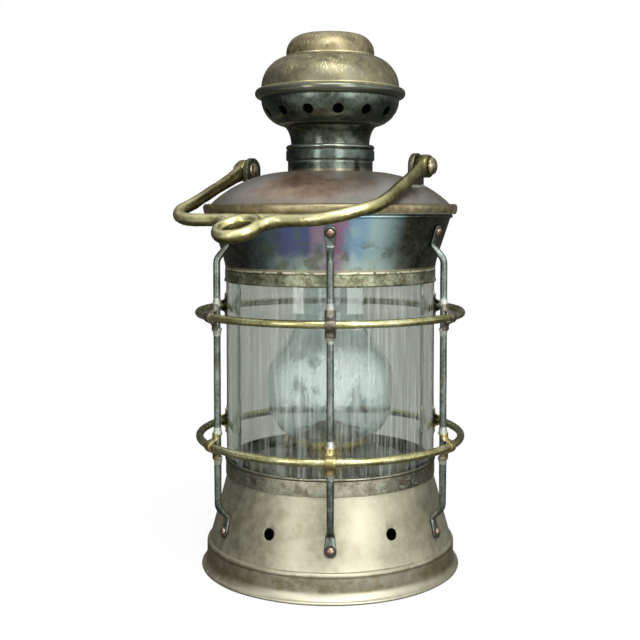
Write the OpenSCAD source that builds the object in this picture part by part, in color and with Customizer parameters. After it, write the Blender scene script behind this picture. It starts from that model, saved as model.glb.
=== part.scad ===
// Ship's oil lantern: a glass cylinder inside a riveted guard of rods and rings, between a spun
// brass base and a vented hood, with a swinging bail. The burner stands on an oil tank that locks
// into the base from below with a quarter twist.
// Millimetres, +Z up. The origin is on the lantern's axis at the underside of the foot, and X runs
// along the pivots of the bail.

/* [Sheet metal and seats] */
// Thickness of the spun brass sheet
sheet_t = 1.2; // [0.9:0.1:1.6]
// Gap between fixed pieces that lie on each other's curved faces
seat_gap = 0.05; // [0.02:0.01:0.1]
// Gap between pieces that move past each other
move_gap = 0.3; // [0.2:0.05:0.5]
// Radial clearance of a pin that turns in its hole
pin_gap = 0.05; // [0.02:0.01:0.09]

/* [Base] */
// Radius of the foot flange
foot_r = 103.5; // [101.5:0.5:108]
// Thickness of the foot flange's edge
foot_lip = 2.5; // [1.5:0.5:4]
// Height of the flared foot
foot_h = 10; // [7:0.5:14]
// Radius of the upright band
band_r = 99.2; // [97:0.2:101]
// Height of the upright band
band_h = 9.5; // [8:0.5:14]
// How far the rounded shoulder steps in
shoulder_in = 2.4; // [1:0.2:4]
// Height of the rounded shoulder
shoulder_h = 3; // [1.5:0.5:5]
// Height of the tapering cone above the shoulder
cone_h = 51.5; // [46:0.5:60]
// Diameter of the air holes in the cone
air_hole_d = 9; // [5:0.5:12]
// Height of the air holes above the foot of the cone
air_hole_up = 22.5; // [16:0.5:30]
// Number of air holes, one between each pair of guard rods
air_holes = 6; // [3:1:6]

/* [Glass] */
// Outside radius of the glass cylinder
glass_r = 82.5; // [80:0.5:84]
// Wall of the glass cylinder
glass_t = 3.5; // [2.5:0.5:5]
// Length of the glass cylinder
glass_h = 158.5; // [140:0.5:180]
// Thickness of the gaskets at the ends of the glass
gasket_t = 1.8; // [1:0.2:3]
// Height of the lower glass ring
lower_ring_h = 13.5; // [10:0.5:20]
// Height of the upper glass ring
upper_ring_h = 11; // [9:0.5:18]
// Gap between the glass and the wall of its rings
glass_gap = 0.3; // [0.1:0.1:0.6]

/* [Hood and roof] */
// Height of the hood's curved foot
hood_foot_h = 13.5; // [10:0.5:18]
// Share of the hood's opening that its curved foot takes
hood_foot_share = 0.286; // [0.2:0.002:0.36]
// Height of the hood's straight flare
hood_flare_h = 25.5; // [23:0.5:30]
// Radius at the top of the hood's flare
hood_top_r = 95.5; // [93:0.5:99]
// How far the hood's rolled lip stands out
hood_lip_out = 2; // [1:0.2:3]
// Height of the hood's rolled lip
hood_lip_h = 3; // [2:0.2:4]
// How far the rim band stands out past the hood's lip
rim_out = 3.5; // [2.5:0.5:5]
// Height of the rim band
rim_h = 8; // [6:0.5:12]
// Width of the ledge between the rim's edge and the roof
rim_ledge = 6; // [4:0.5:8]
// Radius of the rounded top edge of the rim band
rim_round = 2.4; // [0.8:0.2:3.2]
// Rise of the domed roof
roof_rise = 25.5; // [23:0.5:30]
// Slope of the roof at its edge, in degrees
roof_edge_slope = 44; // [38:1:48]

/* [Neck and cowl] */
// Radius of the neck at the roof
neck_r = 33.8; // [31:0.2:36]
// Height of the neck below its collar
neck_step_h = 8.2; // [5:0.2:11]
// How far the collar stands out from the neck
collar_out = 1.4; // [0.6:0.2:2.4]
// Height of the collar
neck_collar_h = 8.8; // [6:0.2:12]
// Height of the bead above the collar
neck_bead_h = 4; // [3:0.2:6]
// Height of the flare that carries the bowl
neck_flare_h = 15.5; // [11:0.5:19]
// How far the flare opens
neck_flare_out = 5.5; // [4:0.5:8]
// Radius of the vent bowl at its top
bowl_r = 54.8; // [50:0.2:58]
// Height of the vent bowl
bowl_h = 21; // [19:0.5:26]
// Number of vent holes
vent_count = 14; // [8:1:16]
// Diameter of the vent holes
vent_d = 8.4; // [5:0.2:9.4]
// Angle of the vent holes below the horizontal
vent_dip = 33; // [25:1:40]
// Angle of the first vent hole
vent_start = -2; // [-12:1:12]
// How far the cowl's rolled bead stands out from the bowl
bead_out = 4.9; // [3:0.1:7]
// Height of the cowl's rolled bead
bead_h = 8; // [6:0.5:11]
// Height of the cowl's dome above the bead
dome_h = 25; // [20:0.5:30]
// Radius of the cap
cap_r = 35; // [30:0.5:40]
// Height of the cap's upright edge
cap_edge_h = 3; // [2:0.5:5]
// Radius of the cap's rounded corner
cap_corner = 14.5; // [10:0.5:18]
// Rise of the cap's crown
cap_crown = 1; // [0.5:0.5:3]
// Radius of the draught plate under the cowl
draught_r = 26; // [20:1:30]
// Height of the draught plate above the foot of the bowl
draught_up = 5.5; // [4:0.5:7]

/* [Guard] */
// Diameter of the guard rods
rod_d = 5.5; // [4.5:0.1:6.5]
// How far the rods stand off the sheet that they are riveted to
rod_stand = 6.1; // [5:0.1:8]
// Width of a rod's hammered flat end
tab_w = 9; // [7.5:0.5:11]
// Thickness of a rod's hammered flat end
tab_t = 2.2; // [1.6:0.1:2.8]
// Length of a flat end from its rivet to its tip
tab_tip = 5; // [4:0.5:7]
// Length of a flat end from its rivet to the joggle
tab_back = 11; // [9:0.5:14]
// Angle of the joggle that brings a rod in to its seat
joggle = 40; // [32:1:48]
// Bend radius of the joggle
rod_bend = 8; // [6:0.5:11]
// Distance of the upper rivets below the top of the hood's flare
upper_rivet_drop = 9.5; // [7:0.5:12]
// Distance of the lower rivets above the foot of the cone
lower_rivet_up = 14.5; // [10:0.5:18]
// Diameter of the rivets' shanks
rivet_d = 3.6; // [2.6:0.2:4.4]
// Diameter of the rivets' heads
rivet_head_d = 6.6; // [5.4:0.2:8]
// Height of the rivets' heads
rivet_head_h = 2; // [1.2:0.2:2.8]
// Diameter of the guard rings' wire
wire_d = 6; // [4.5:0.5:7]
// Height of the upper guard ring below the top of the glass
upper_ring_drop = 32.5; // [26:0.5:60]
// Height of the lower guard ring above the foot of the glass
lower_ring_up = 27.5; // [22:0.5:50]
// Height of a saddle clip
clip_h = 20; // [15:1:26]
// Thickness of a saddle clip's strap
clip_t = 1.2; // [0.8:0.1:1.6]

/* [Bail] */
// Distance of the lugs from the axis
lug_x = 75.4; // [70:0.2:78]
// Thickness of the lugs
lug_t = 4.5; // [3:0.5:6]
// Radius of the lugs' round tops
lug_r = 10; // [8:0.5:12]
// Height of the pivots above the top of the roof
pivot_up = 3; // [0:0.5:8]
// Diameter of the bail's bar
bail_d = 9.5; // [7:0.5:11]
// Bend radius of the bail's left corner
bail_left_bend = 28; // [22:1:34]
// Bend radius of the bail's right corner, which sweeps wider
bail_right_bend = 48; // [40:1:54]
// Angle of the resting bail below the horizontal
bail_tilt = 22; // [18:1:24]
// Radius of the bail's pivot eyes
pivot_eye_r = 9; // [7:0.5:10.5]
// Width of the bail's pivot eyes
pivot_eye_w = 10; // [7:0.2:12]
// Length over which the bail's arms swell into their pivot eyes
knuckle_l = 32; // [24:1:40]
// Diameter of the pivot rivets
pivot_d = 8; // [5:0.5:9]
// Diameter of the pivot rivets' heads
pivot_head_d = 13; // [11:0.5:16]
// Height of the pivot rivets' heads
pivot_head_h = 4; // [3:0.5:6]
// Thickness of the pivot rivets' inner ends
pivot_tail_h = 2; // [1:0.5:3]
// Radius of the hole in the hanging eye
eye_hole_r = 11; // [8:0.5:14]
// Width of the hanging eye's ring
eye_w = 8; // [6:0.5:10]
// Thickness of the hanging eye's ring
eye_d = 8.8; // [7:0.2:9]
// Distance from the hanging eye's middle to where its fillets leave the crossbar
eye_fillet_l = 33; // [28:1:38]
// Length of the hanging eye's straight wall
eye_wall = 6.4; // [4:0.2:7]
// Sideways offset of the hanging eye
eye_offset = -6; // [-12:1:12]

/* [Oil tank] */
// Height of the bayonet ring above the foot flange's underside
bayonet_z = 15; // [13:0.5:16]
// Thickness of the bayonet ring and of its lugs
bayonet_t = 2; // [1.4:0.2:2.6]
// Width of the bayonet ring
bayonet_w = 10; // [8:0.5:12]
// Angle that each bayonet lug covers
lug_angle = 24; // [16:1:30]
// Angle from the locked position to the notches
lock_angle = 40; // [36:1:50]
// Thickness of the bottom plate
plate_t = 1.5; // [1:0.1:2]
// Length of the twist grip
grip_l = 70; // [50:1:90]
// Thickness of the twist grip
grip_t = 6; // [4:0.5:10]
// Height of the twist grip
grip_h = 9; // [7:0.5:10.5]
// Radius of the twist grip's rounded corners
grip_round = 5; // [2:0.5:6]
// Radius of the oil tank
tank_r = 66; // [60:0.5:70]
// Height of the oil tank
tank_h = 69.5; // [60:0.5:74]
// Radius of the tank's rounded shoulder
tank_round = 6; // [4:0.5:9]
// Wall of the tank
tank_wall = 1; // [0.8:0.1:1.6]
// Distance of the filler from the tank's edge
filler_in = 19; // [17:0.5:22]
// Direction of the filler
filler_angle = 120; // [100:5:160]
// Radius of the filler neck
filler_r = 8; // [6:0.5:9]
// Height of the filler neck
filler_h = 7.7; // [6:0.1:9]
// Wall of the filler neck and its cap
filler_wall = 1.6; // [1:0.1:2.4]

/* [Burner] */
// Radius of the burner collar on the tank
burner_collar_r = 18; // [16:0.5:20]
// Height of the burner collar
burner_collar_h = 3; // [2:0.5:6]
// Radius of the burner body
burner_r = 20; // [19:0.5:22]
// Height of the burner body
burner_h = 10.4; // [10:0.2:13]
// Wall of the burner's sheet
burner_wall = 1.2; // [0.8:0.1:1.6]
// Radius of the chimney gallery
gallery_r = 30.5; // [29:0.5:33]
// Height of the gallery's prongs
prong_h = 4; // [3:0.5:6]
// Number of the gallery's prongs
prong_count = 8; // [4:1:12]
// Height of the burner dome
burner_dome_h = 16; // [14:0.5:20]
// Width of the flat wick
wick_w = 17; // [14:0.5:19]
// Thickness of the flat wick
wick_t = 3; // [2:0.2:4]
// Length of the wick from the tank to the flame
wick_l = 80; // [60:1:90]
// Gap around the wick in its tube
wick_gap = 0.3; // [0.2:0.05:0.5]
// Wall of the wick tube
wick_tube_wall = 0.6; // [0.4:0.1:1]
// Length of the wick tube
wick_tube_l = 42; // [36:1:50]
// Radius of the spur wheels that drive the wick
spur_r = 4; // [3.2:0.2:4.2]
// Teeth of a spur wheel
spur_teeth = 12; // [8:1:16]
// Thickness of a spur wheel
spur_t = 1.6; // [1:0.2:2.4]
// Distance between the spur wheels
spur_apart = 9; // [6:0.5:11]
// Diameter of the wick spindle
spindle_d = 3; // [2:0.2:4]
// Distance of the wick knob from the axis
knob_x = 40; // [36:1:46]
// Radius of the wick knob
knob_r = 7.5; // [5:0.5:8]
// Thickness of the wick knob
knob_t = 4; // [3:0.5:6]

/* [Chimney] */
// Wall of the glass chimney
chimney_wall = 2; // [1.5:0.1:3]
// Radius of the chimney's bulge
bulge_r = 51; // [44:0.5:54]
// Radius of the chimney's tube
chimney_tube_r = 27.5; // [24:0.5:30]
// Height of the chimney's straight foot above the gallery's prongs
chimney_foot_h = 1.5; // [1:0.5:4]
// Height from the chimney's foot to the widest part
bulge_up = 38; // [30:1:46]
// Height of the bulge's upright middle
bulge_mid = 12; // [6:1:20]
// Height of the shoulder between the bulge and the tube
chimney_shoulder = 50; // [40:1:60]
// Height of the chimney
chimney_h = 141; // [128:1:150]

/* [Hidden] */
$fn = 72;

// Colours of the metals as they show on the old lantern
brass_base = "#8c8465";
brass_dark = "#55544a";
brass_gold = "#96834c";
brass_brown = "#8a6f58";
pewter = "#74766a";
copper = "#b07a62";
clear_glass = [0.85, 0.9, 0.88, 0.35];

// Six guard rods, each a node of its own
rod_count = 6;
// A cut reaches this far past the face that it opens
cut = 1;
// Width of the inner ledge that carries a gasket past the glass
ledge_in = 2;
// Step from a glass ring in to the top of the base, and in to the foot of the hood
base_step = 1;
hood_step = 0.4;
// Step from the roof's top edge in to the neck, and from the neck in to its throat
roof_step = 0.2;
throat_step = 0.6;
// Room that the swinging bail leaves over the cap
cap_room = 2;
// How far the hanging eye's ring sinks into the crossbar
eye_sink = 0.2;
// How far a swell or fillet of the bail lies inside the bar and ring that it blends
blend_in = 0.15;
// Angle round the hanging eye's ring at which its fillets end
eye_fillet_at = 16;
// Distance of the bayonet lugs' tips from the band
lug_tip_gap = 4;
// How far a notch is wider than its lug, in degrees
notch_more = 4;
// Room under the spur wheels
wheel_gap = 0.5;
// Depth of the wick tube's mouth inside the burner dome, and height of the wick above that mouth
tube_sink = 5;
wick_show = 1.5;
// Step from the burner body out to its dome, and gap between the chimney and the prongs
burner_step = 1;
prong_gap = 0.4;
// A rivet's spread tail: its overlap on each side and its height
tail_over = 1;
tail_h = 1;
// Steps of a round stretch in an outline
steps = 10;

// Heights of the stack, from the foot up
band_z = foot_h;
shoulder_z = band_z + band_h;
cone_z = shoulder_z + shoulder_h;
base_z = cone_z + cone_h;
glass_z = base_z + sheet_t + gasket_t;
glass_top = glass_z + glass_h;
hood_z = glass_top + gasket_t + sheet_t;
flare_z = hood_z + hood_foot_h;
hood_lip_z = flare_z + hood_flare_h;
rim_z = hood_lip_z + hood_lip_h;
roof_z = rim_z + rim_h;
neck_z = roof_z + roof_rise;
neck_bead_z = neck_z + neck_step_h + neck_collar_h;
neck_flare_z = neck_bead_z + neck_bead_h;
bowl_z = neck_flare_z + neck_flare_h;
bead_z = bowl_z + bowl_h;
dome_z = bead_z + bead_h;
cap_z = dome_z + dome_h;
top_z = cap_z + cap_edge_h + cap_corner + cap_crown;

// Radii of the glass and its rings
glass_bore_r = glass_r - glass_t;
ring_wall_r = glass_r + glass_gap;
ring_r = ring_wall_r + sheet_t;
ring_seat_r = glass_bore_r - ledge_in;
cone_r = band_r - shoulder_in;
cone_top_r = ring_r - base_step;
hood_r = ring_r - hood_step;
hood_mid_r = hood_r + hood_foot_share * (hood_top_r - hood_r);
hood_lip_r = hood_top_r + hood_lip_out;
rim_r = hood_lip_r + rim_out;

// The roof's arc leaves its edge at the given slope and reaches the neck
roof_r = rim_r - rim_ledge;
roof_top_r = neck_r + roof_step;
roof_chord = norm([roof_r - roof_top_r, roof_rise]);
roof_turn = 2 * (roof_edge_slope - atan(roof_rise / (roof_r - roof_top_r)));
roof_arc_r = roof_chord / (2 * sin(roof_turn / 2));
roof_cx = roof_r - roof_arc_r * sin(roof_edge_slope);
roof_cz = roof_z - roof_arc_r * cos(roof_edge_slope);

// Neck, bowl and cowl
collar_r = neck_r + collar_out;
throat_r = neck_r - throat_step;
throat_in = throat_r - sheet_t;
neck_bead_r = neck_bead_h / 2;
neck_top_r = throat_r + neck_flare_out;
bowl_arc_r = (pow(bowl_r - neck_top_r, 2) + pow(bowl_h, 2)) / (2 * (bowl_r - neck_top_r));
bowl_cx = bowl_r - bowl_arc_r;
bowl_foot_angle = -asin(bowl_h / bowl_arc_r);
bead_r = bead_h / 2;
bead_cx = bowl_r + bead_out - bead_r;
dome_end = 80;
dome_a = (bowl_r - cap_r) / (1 - cos(dome_end));
dome_b = dome_h / sin(dome_end);
dome_cx = bowl_r - dome_a;

// Guard: the rods' flat ends lie on the straight cones of the hood and the base
rod_r = rod_d / 2;
hood_slope = atan((hood_top_r - hood_mid_r) / hood_flare_h);
cone_slope = atan((cone_r - cone_top_r) / (cone_h - sheet_t));
upper_rivet_z = hood_lip_z - upper_rivet_drop;
upper_rivet_r = hood_top_r - upper_rivet_drop * tan(hood_slope);
lower_rivet_z = cone_z + lower_rivet_up;
lower_rivet_r = cone_r - lower_rivet_up * tan(cone_slope);
rod_circle_r = max(upper_rivet_r, lower_rivet_r) + rod_stand;
wire_r = wire_d / 2;
guard_ring_r = rod_circle_r + rod_r + seat_gap + wire_r;
upper_ring_z = glass_top - upper_ring_drop;
lower_ring_z = glass_z + lower_ring_up;
clip_r = rod_r + seat_gap + clip_t;

// Bail: long enough to lie outside the rim and to swing over the cap
pivot_z = neck_z + pivot_up;
bail_r = bail_d / 2;
arm_half = max(pivot_eye_w, bail_d + 0.5) / 2;
arm_x = lug_x + lug_t / 2 + move_gap + arm_half;
arm_out = arm_x + arm_half;
cap_reach = norm([cap_r - cap_corner, cap_z + cap_edge_h - pivot_z]) + cap_corner;
crown_reach = top_z - pivot_z;
bail_reach = max((rim_r + bail_r + move_gap) / cos(bail_tilt),
                 max(cap_reach, crown_reach) + bail_r + cap_room);
eye_r = eye_hole_r + eye_w;
eye_reach = bail_reach + bail_r + eye_hole_r - eye_sink;

// Oil tank and burner, from the bottom plate up
inner_band_r = band_r - sheet_t;
bayonet_bore_r = inner_band_r - bayonet_w;
lug_reach_r = inner_band_r - lug_tip_gap;
plate_z = bayonet_z - move_gap - plate_t;
plate_top = plate_z + plate_t;
lug_z = bayonet_z + bayonet_t + move_gap;
plate_wall_r = bayonet_bore_r - move_gap;
tank_top = plate_top + tank_h;
filler_x = tank_r - filler_in;
filler_cap_r = filler_r + filler_wall + pin_gap;
filler_lift = 1;
burner_z = tank_top + burner_collar_h;
gallery_z = burner_z + burner_h;
gallery_top = gallery_z + burner_wall;
spindle_r = spindle_d / 2;
spindle_z = burner_z + burner_wall + spur_r + wheel_gap;
spindle_y = wick_t / 2 + move_gap + spur_r;
wick_tube_w = wick_w + 2 * (wick_gap + wick_tube_wall);
wick_tube_t = wick_t + 2 * (wick_gap + wick_tube_wall);
wick_tube_top = gallery_top + burner_dome_h - tube_sink;
wick_tip = wick_tube_top + wick_show;
burner_dome_r = burner_r + burner_step;
chimney_r = gallery_r - burner_wall - prong_gap;

// Points of an arc about (cx, cz), and of an ellipse's arc with two half-widths
function arc(cx, cz, r, from, to) = ellipse(cx, cz, r, r, from, to);
function ellipse(cx, cz, a, b, from, to) =
    [for (i = [0:steps]) let (t = from + (to - from) * i / steps) [cx + a * cos(t), cz + b * sin(t)]];

// Points of a smooth curve from p to q that leaves p towards c
function curve(p, c, q) =
    [for (i = [0:steps]) let (t = i / steps) pow(1 - t, 2) * p + 2 * t * (1 - t) * c + t * t * q];

// A spun piece from its half outline
module spun(outline) {
    rotate_extrude()
        polygon(outline);
}

// A flat ring or a tube standing at height z
module tube(outer, inner, z, h) {
    translate([0, 0, z])
        difference() {
            cylinder(r = outer, h = h);
            translate([0, 0, -cut])
                cylinder(r = inner, h = h + 2 * cut);
        }
}

// Copies its children around the axis, evenly spaced
module around(count, start = 0) {
    for (i = [0:count - 1])
        rotate([0, 0, start + i * 360 / count])
            children();
}

// Places its children on the outside of a cone: local X points out of the sheet, local Z up it
module on_hood(r = upper_rivet_r, z = upper_rivet_z) {
    translate([r, 0, z])
        rotate([0, hood_slope, 0])
            children();
}

module on_cone(r = lower_rivet_r, z = lower_rivet_z) {
    translate([r, 0, z])
        rotate([0, -cone_slope, 0])
            children();
}

// A cylinder along local X, from x to x + h
module along_x(r, x, h) {
    translate([x, 0, 0])
        rotate([0, 90, 0])
            cylinder(r = r, h = h);
}

// A short sleeve over the joint between a straight bar and its bend, a hair thicker than the bar
module sleeve(r) {
    translate([0, 0, -0.5])
        cylinder(r = r + 0.05, h = 1);
}

// The hole that a rod's rivet needs, through the flat end and the sheet
module rivet_hole() {
    along_x(rivet_d / 2 + seat_gap, -3 * sheet_t, 6 * sheet_t + tab_t);
}

module base_skirt() {
    foot = [[inner_band_r, 0], [foot_r, 0]];
    flare = ellipse(foot_r, foot_h, foot_r - band_r, foot_h - foot_lip, 270, 180);
    shoulder = ellipse(cone_r, shoulder_z, shoulder_in, shoulder_h, 0, 90);
    top = [[cone_top_r, base_z - sheet_t], [cone_top_r, base_z], [ring_seat_r, base_z],
           [ring_seat_r, base_z - sheet_t], [cone_top_r - sheet_t, base_z - sheet_t]];
    inside = [[cone_r - sheet_t, cone_z - sheet_t], [inner_band_r, shoulder_z - sheet_t]];
    color(brass_base)
        difference() {
            spun(concat(foot, flare, shoulder, top, inside));
            around(air_holes, 180 / rod_count)
                on_cone(cone_r - air_hole_up * tan(cone_slope), cone_z + air_hole_up)
                    along_x(air_hole_d / 2, -4 * sheet_t, 8 * sheet_t);
            around(rod_count)
                on_cone()
                    rivet_hole();
        }
}

module bayonet_ring() {
    color(brass_base)
        difference() {
            tube(inner_band_r, bayonet_bore_r, bayonet_z, bayonet_t);
            around(3, lock_angle)
                sector(lug_reach_r + 2 * move_gap, bayonet_bore_r - cut, lug_angle + notch_more,
                       bayonet_z - cut, bayonet_t + 2 * cut);
        }
}

// A piece of a flat ring that covers the given angle on either side of local X
module sector(outer, inner, angle, z, h) {
    translate([0, 0, z])
        rotate([0, 0, -angle / 2])
            rotate_extrude(angle = angle)
                translate([inner, 0])
                    square([outer - inner, h]);
}

module lower_glass_ring() {
    color(brass_dark)
        union() {
            tube(ring_r, ring_wall_r, base_z, lower_ring_h);
            tube(ring_r, ring_seat_r, base_z, sheet_t);
        }
}

module lower_gasket() {
    color("#2b2a27")
        tube(glass_r, glass_bore_r, base_z + sheet_t, gasket_t);
}

module glass_cylinder() {
    color(clear_glass)
        tube(glass_r, glass_bore_r, glass_z, glass_h);
}

module upper_gasket() {
    color("#2b2a27")
        tube(glass_r, glass_bore_r, glass_top, gasket_t);
}

module upper_glass_ring() {
    color(brass_gold)
        union() {
            tube(ring_r, ring_wall_r, hood_z - upper_ring_h, upper_ring_h);
            tube(ring_r, ring_seat_r, hood_z - sheet_t, sheet_t);
        }
}

module hood() {
    bend_h = hood_foot_h / 2;
    foot = curve([hood_r, hood_z], [hood_mid_r - bend_h * tan(hood_slope), flare_z - bend_h],
                 [hood_mid_r, flare_z]);
    lip = arc(hood_lip_r - hood_lip_h / 2, hood_lip_z + hood_lip_h / 2, hood_lip_h / 2, -90, 90);
    inside = [[hood_top_r - sheet_t, rim_z], [hood_top_r - sheet_t, hood_lip_z],
              [hood_mid_r - sheet_t, flare_z], [hood_r - sheet_t, hood_z + sheet_t],
              [ring_seat_r, hood_z + sheet_t], [ring_seat_r, hood_z]];
    color(brass_dark)
        difference() {
            spun(concat(foot, [[hood_top_r, hood_lip_z]], lip, inside));
            around(rod_count)
                on_hood()
                    rivet_hole();
        }
}

module rim_band() {
    edge = arc(rim_r - rim_round, roof_z - rim_round, rim_round, 0, 90);
    ledge_r = roof_r - 3 * sheet_t;
    foot_in_r = hood_top_r - 2 * sheet_t;
    color(brass_gold)
        spun(concat([[foot_in_r, rim_z], [rim_r, rim_z]], edge,
                    [[ledge_r, roof_z], [ledge_r, roof_z - sheet_t],
                     [rim_r - rim_round, roof_z - sheet_t], [rim_r - sheet_t, roof_z - rim_round],
                     [rim_r - sheet_t, rim_z + sheet_t], [foot_in_r, rim_z + sheet_t]]));
}

// The roof's outer arc, from its edge to the seat of the neck
roof_arc = arc(roof_cx, roof_cz, roof_arc_r, 90 - roof_edge_slope, 90 - roof_edge_slope + roof_turn);

module roof() {
    inner_r = roof_arc_r - sheet_t;
    inner_edge = asin((roof_z - roof_cz) / inner_r);
    hole_r = throat_in - 1;
    inside = arc(roof_cx, roof_cz, inner_r, 90 - roof_edge_slope + roof_turn, inner_edge);
    color(brass_brown)
        spun(concat(roof_arc, [[hole_r, neck_z], [hole_r, neck_z - sheet_t]], inside));
}

module neck() {
    wall = [[neck_r, neck_z], [neck_r, neck_z + neck_step_h], [collar_r, neck_z + neck_step_h],
            [collar_r, neck_bead_z]];
    bead = arc(throat_r, neck_bead_z + neck_bead_r, neck_bead_r, -45, 90);
    flare = ellipse(neck_top_r, neck_flare_z, neck_flare_out, neck_flare_h, 180, 90);
    inside_end = 180 - asin(neck_flare_h / (neck_flare_h + sheet_t));
    inside = ellipse(neck_top_r, neck_flare_z, neck_flare_out + sheet_t, neck_flare_h + sheet_t,
                     inside_end, 180);
    color(brass_dark)
        spun(concat(wall, bead, flare, inside, [[throat_in, neck_z]]));
}

module vent_bowl() {
    outside = arc(bowl_cx, bead_z, bowl_arc_r, bowl_foot_angle, 0);
    inside = arc(bowl_cx, bead_z, bowl_arc_r - sheet_t, 0, bowl_foot_angle);
    foot_in_r = neck_top_r - 2 * sheet_t;
    foot_top = bead_z - (bowl_arc_r - sheet_t) * sin(-bowl_foot_angle);
    color(brass_dark)
        difference() {
            spun(concat(outside, inside, [[foot_in_r, foot_top], [foot_in_r, bowl_z]]));
            around(vent_count, vent_start)
                translate([bowl_cx, 0, bead_z])
                    rotate([0, vent_dip, 0])
                        along_x(vent_d / 2, bowl_arc_r - 4 * sheet_t, 8 * sheet_t);
        }
}

module draught_plate() {
    z = bowl_z + draught_up;
    reach = bowl_cx + sqrt(pow(bowl_arc_r - sheet_t, 2) - pow(bead_z - z, 2)) - 2 * seat_gap;
    strip_w = 8;
    color(brass_dark)
        union() {
            translate([0, 0, z])
                cylinder(r = draught_r, h = sheet_t);
            intersection() {
                translate([0, 0, z])
                    cylinder(r = reach, h = sheet_t);
                around(3, 90)
                    translate([0, -strip_w / 2, z])
                        cube([bowl_r, strip_w, sheet_t]);
            }
        }
}

module cowl() {
    foot = [[bowl_r - sheet_t, bead_z], [bowl_r, bead_z]];
    bead = arc(bead_cx, bead_z + bead_r, bead_r, -75, 75);
    dome = ellipse(dome_cx, dome_z, dome_a, dome_b, 0, dome_end);
    inside = ellipse(dome_cx, dome_z, dome_a - sheet_t, dome_b - sheet_t, dome_end, 0);
    seat = [[cap_r - 3 * sheet_t, cap_z], [cap_r - 3 * sheet_t, cap_z - sheet_t]];
    color(brass_gold)
        spun(concat(foot, bead, dome, seat, inside));
}

module cowl_cap() {
    corner_z = cap_z + cap_edge_h;
    corner_cx = cap_r - cap_corner;
    under_z = top_z - sheet_t;
    corner = arc(corner_cx, corner_z, cap_corner, 0, 84);
    inner_corner = arc(corner_cx, corner_z, cap_corner - sheet_t, 84, 0);
    crown = curve(corner[steps], [corner_cx / 2, top_z], [0, top_z]);
    inner_crown = curve([0, under_z], [corner_cx / 2, under_z], inner_corner[0]);
    color(brass_gold)
        spun(concat([[cap_r - sheet_t, cap_z], [cap_r, cap_z]], corner, crown, inner_crown, inner_corner));
}

// One end of a guard rod, for a seat at (r, z) that leans out by slope: the bend, the leg that
// comes in to the seat, and the hammered flat with its rivet hole. It stands on the rod's axis.
module rod_end(r, z, slope) {
    lift = tab_t / 2 + seat_gap;
    flat_start = tab_back - 3;
    slab = 0.4;
    inset = 0.15;
    start = [r + lift * cos(slope) - tab_back * sin(slope),
             z - lift * sin(slope) - tab_back * cos(slope)];
    leg = (rod_circle_r - start.x) / sin(joggle);
    corner_z = start.y - leg * cos(joggle);
    tangent = rod_bend * tan(joggle / 2);
    straight = leg - tangent - 4;
    translate([rod_circle_r, 0, corner_z - tangent]) {
        sleeve(rod_r);
        translate([-rod_bend, 0, 0])
            rotate([90, 0, 0])
                rotate_extrude(angle = joggle)
                    translate([rod_bend, 0])
                        circle(r = rod_r);
    }
    translate([rod_circle_r, 0, corner_z])
        rotate([0, -joggle, 0])
            translate([0, 0, tangent]) {
                sleeve(rod_r);
                cylinder(r = rod_r, h = straight);
            }
    hull() {
        translate([rod_circle_r, 0, corner_z])
            rotate([0, -joggle, 0])
                translate([0, 0, tangent + straight - slab])
                    cylinder(r = rod_r - inset, h = slab, $fn = 32);
        translate([r, 0, z])
            rotate([0, slope, 0])
                translate([seat_gap + inset, inset - tab_w / 2, -flat_start])
                    cube([tab_t - 2 * inset, tab_w - 2 * inset, slab]);
    }
    translate([r, 0, z])
        rotate([0, slope, 0])
            difference() {
                union() {
                    translate([seat_gap, -tab_w / 2, -flat_start])
                        cube([tab_t, tab_w, flat_start + tab_tip - tab_w / 2]);
                    translate([0, 0, tab_tip - tab_w / 2])
                        along_x(tab_w / 2, seat_gap, tab_t);
                }
                rivet_hole();
            }
}

// Height where a rod's straight run ends and its bend starts, for a seat at (r, z)
function bend_start(r, z, slope) =
    let (lift = tab_t / 2 + seat_gap)
    let (leg = (rod_circle_r - r - lift * cos(slope) + tab_back * sin(slope)) / sin(joggle))
    z - lift * sin(slope) - tab_back * cos(slope) - leg * cos(joggle) - rod_bend * tan(joggle / 2);

module guard_rod(number) {
    bottom = -bend_start(lower_rivet_r, -lower_rivet_z, cone_slope);
    top = bend_start(upper_rivet_r, upper_rivet_z, hood_slope);
    color(pewter)
        rotate([0, 0, (number - 1) * 360 / rod_count])
            union() {
                translate([rod_circle_r, 0, bottom])
                    cylinder(r = rod_r, h = top - bottom);
                rod_end(upper_rivet_r, upper_rivet_z, hood_slope);
                mirror([0, 0, 1])
                    rod_end(lower_rivet_r, -lower_rivet_z, cone_slope);
            }
}

// A rivet along local X: a spread tail behind back, the shank, and a domed head from seat outwards
module rivet(shank_r, back, tail_r, tail_h, seat, head_r, head_h) {
    dome_r = (head_r * head_r + head_h * head_h) / (2 * head_h);
    dome = arc(0, seat + head_h - dome_r, dome_r, acos(head_r / dome_r), 90);
    rotate([0, 90, 0])
        spun(concat([[0, back - tail_h], [tail_r, back - tail_h], [tail_r, back], [shank_r, back],
                     [shank_r, seat]], dome));
}

// The copper rivet that holds a rod's flat end to the sheet under it
module rod_rivet() {
    shank_r = rivet_d / 2;
    back = -sheet_t - 4 * seat_gap;
    rivet(shank_r, back, shank_r + tail_over, tail_h, seat_gap + tab_t, rivet_head_d / 2, rivet_head_h);
}

module upper_rod_rivets() {
    color(copper)
        around(rod_count)
            on_hood()
                rod_rivet();
}

module lower_rod_rivets() {
    color(copper)
        around(rod_count)
            on_cone()
                rod_rivet();
}

module guard_ring(z) {
    translate([0, 0, z])
        rotate_extrude()
            translate([guard_ring_r, 0])
                circle(r = wire_r);
}

module upper_guard_ring() {
    color(brass_gold)
        guard_ring(upper_ring_z);
}

module lower_guard_ring() {
    color(brass_gold)
        guard_ring(lower_ring_z);
}

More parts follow.
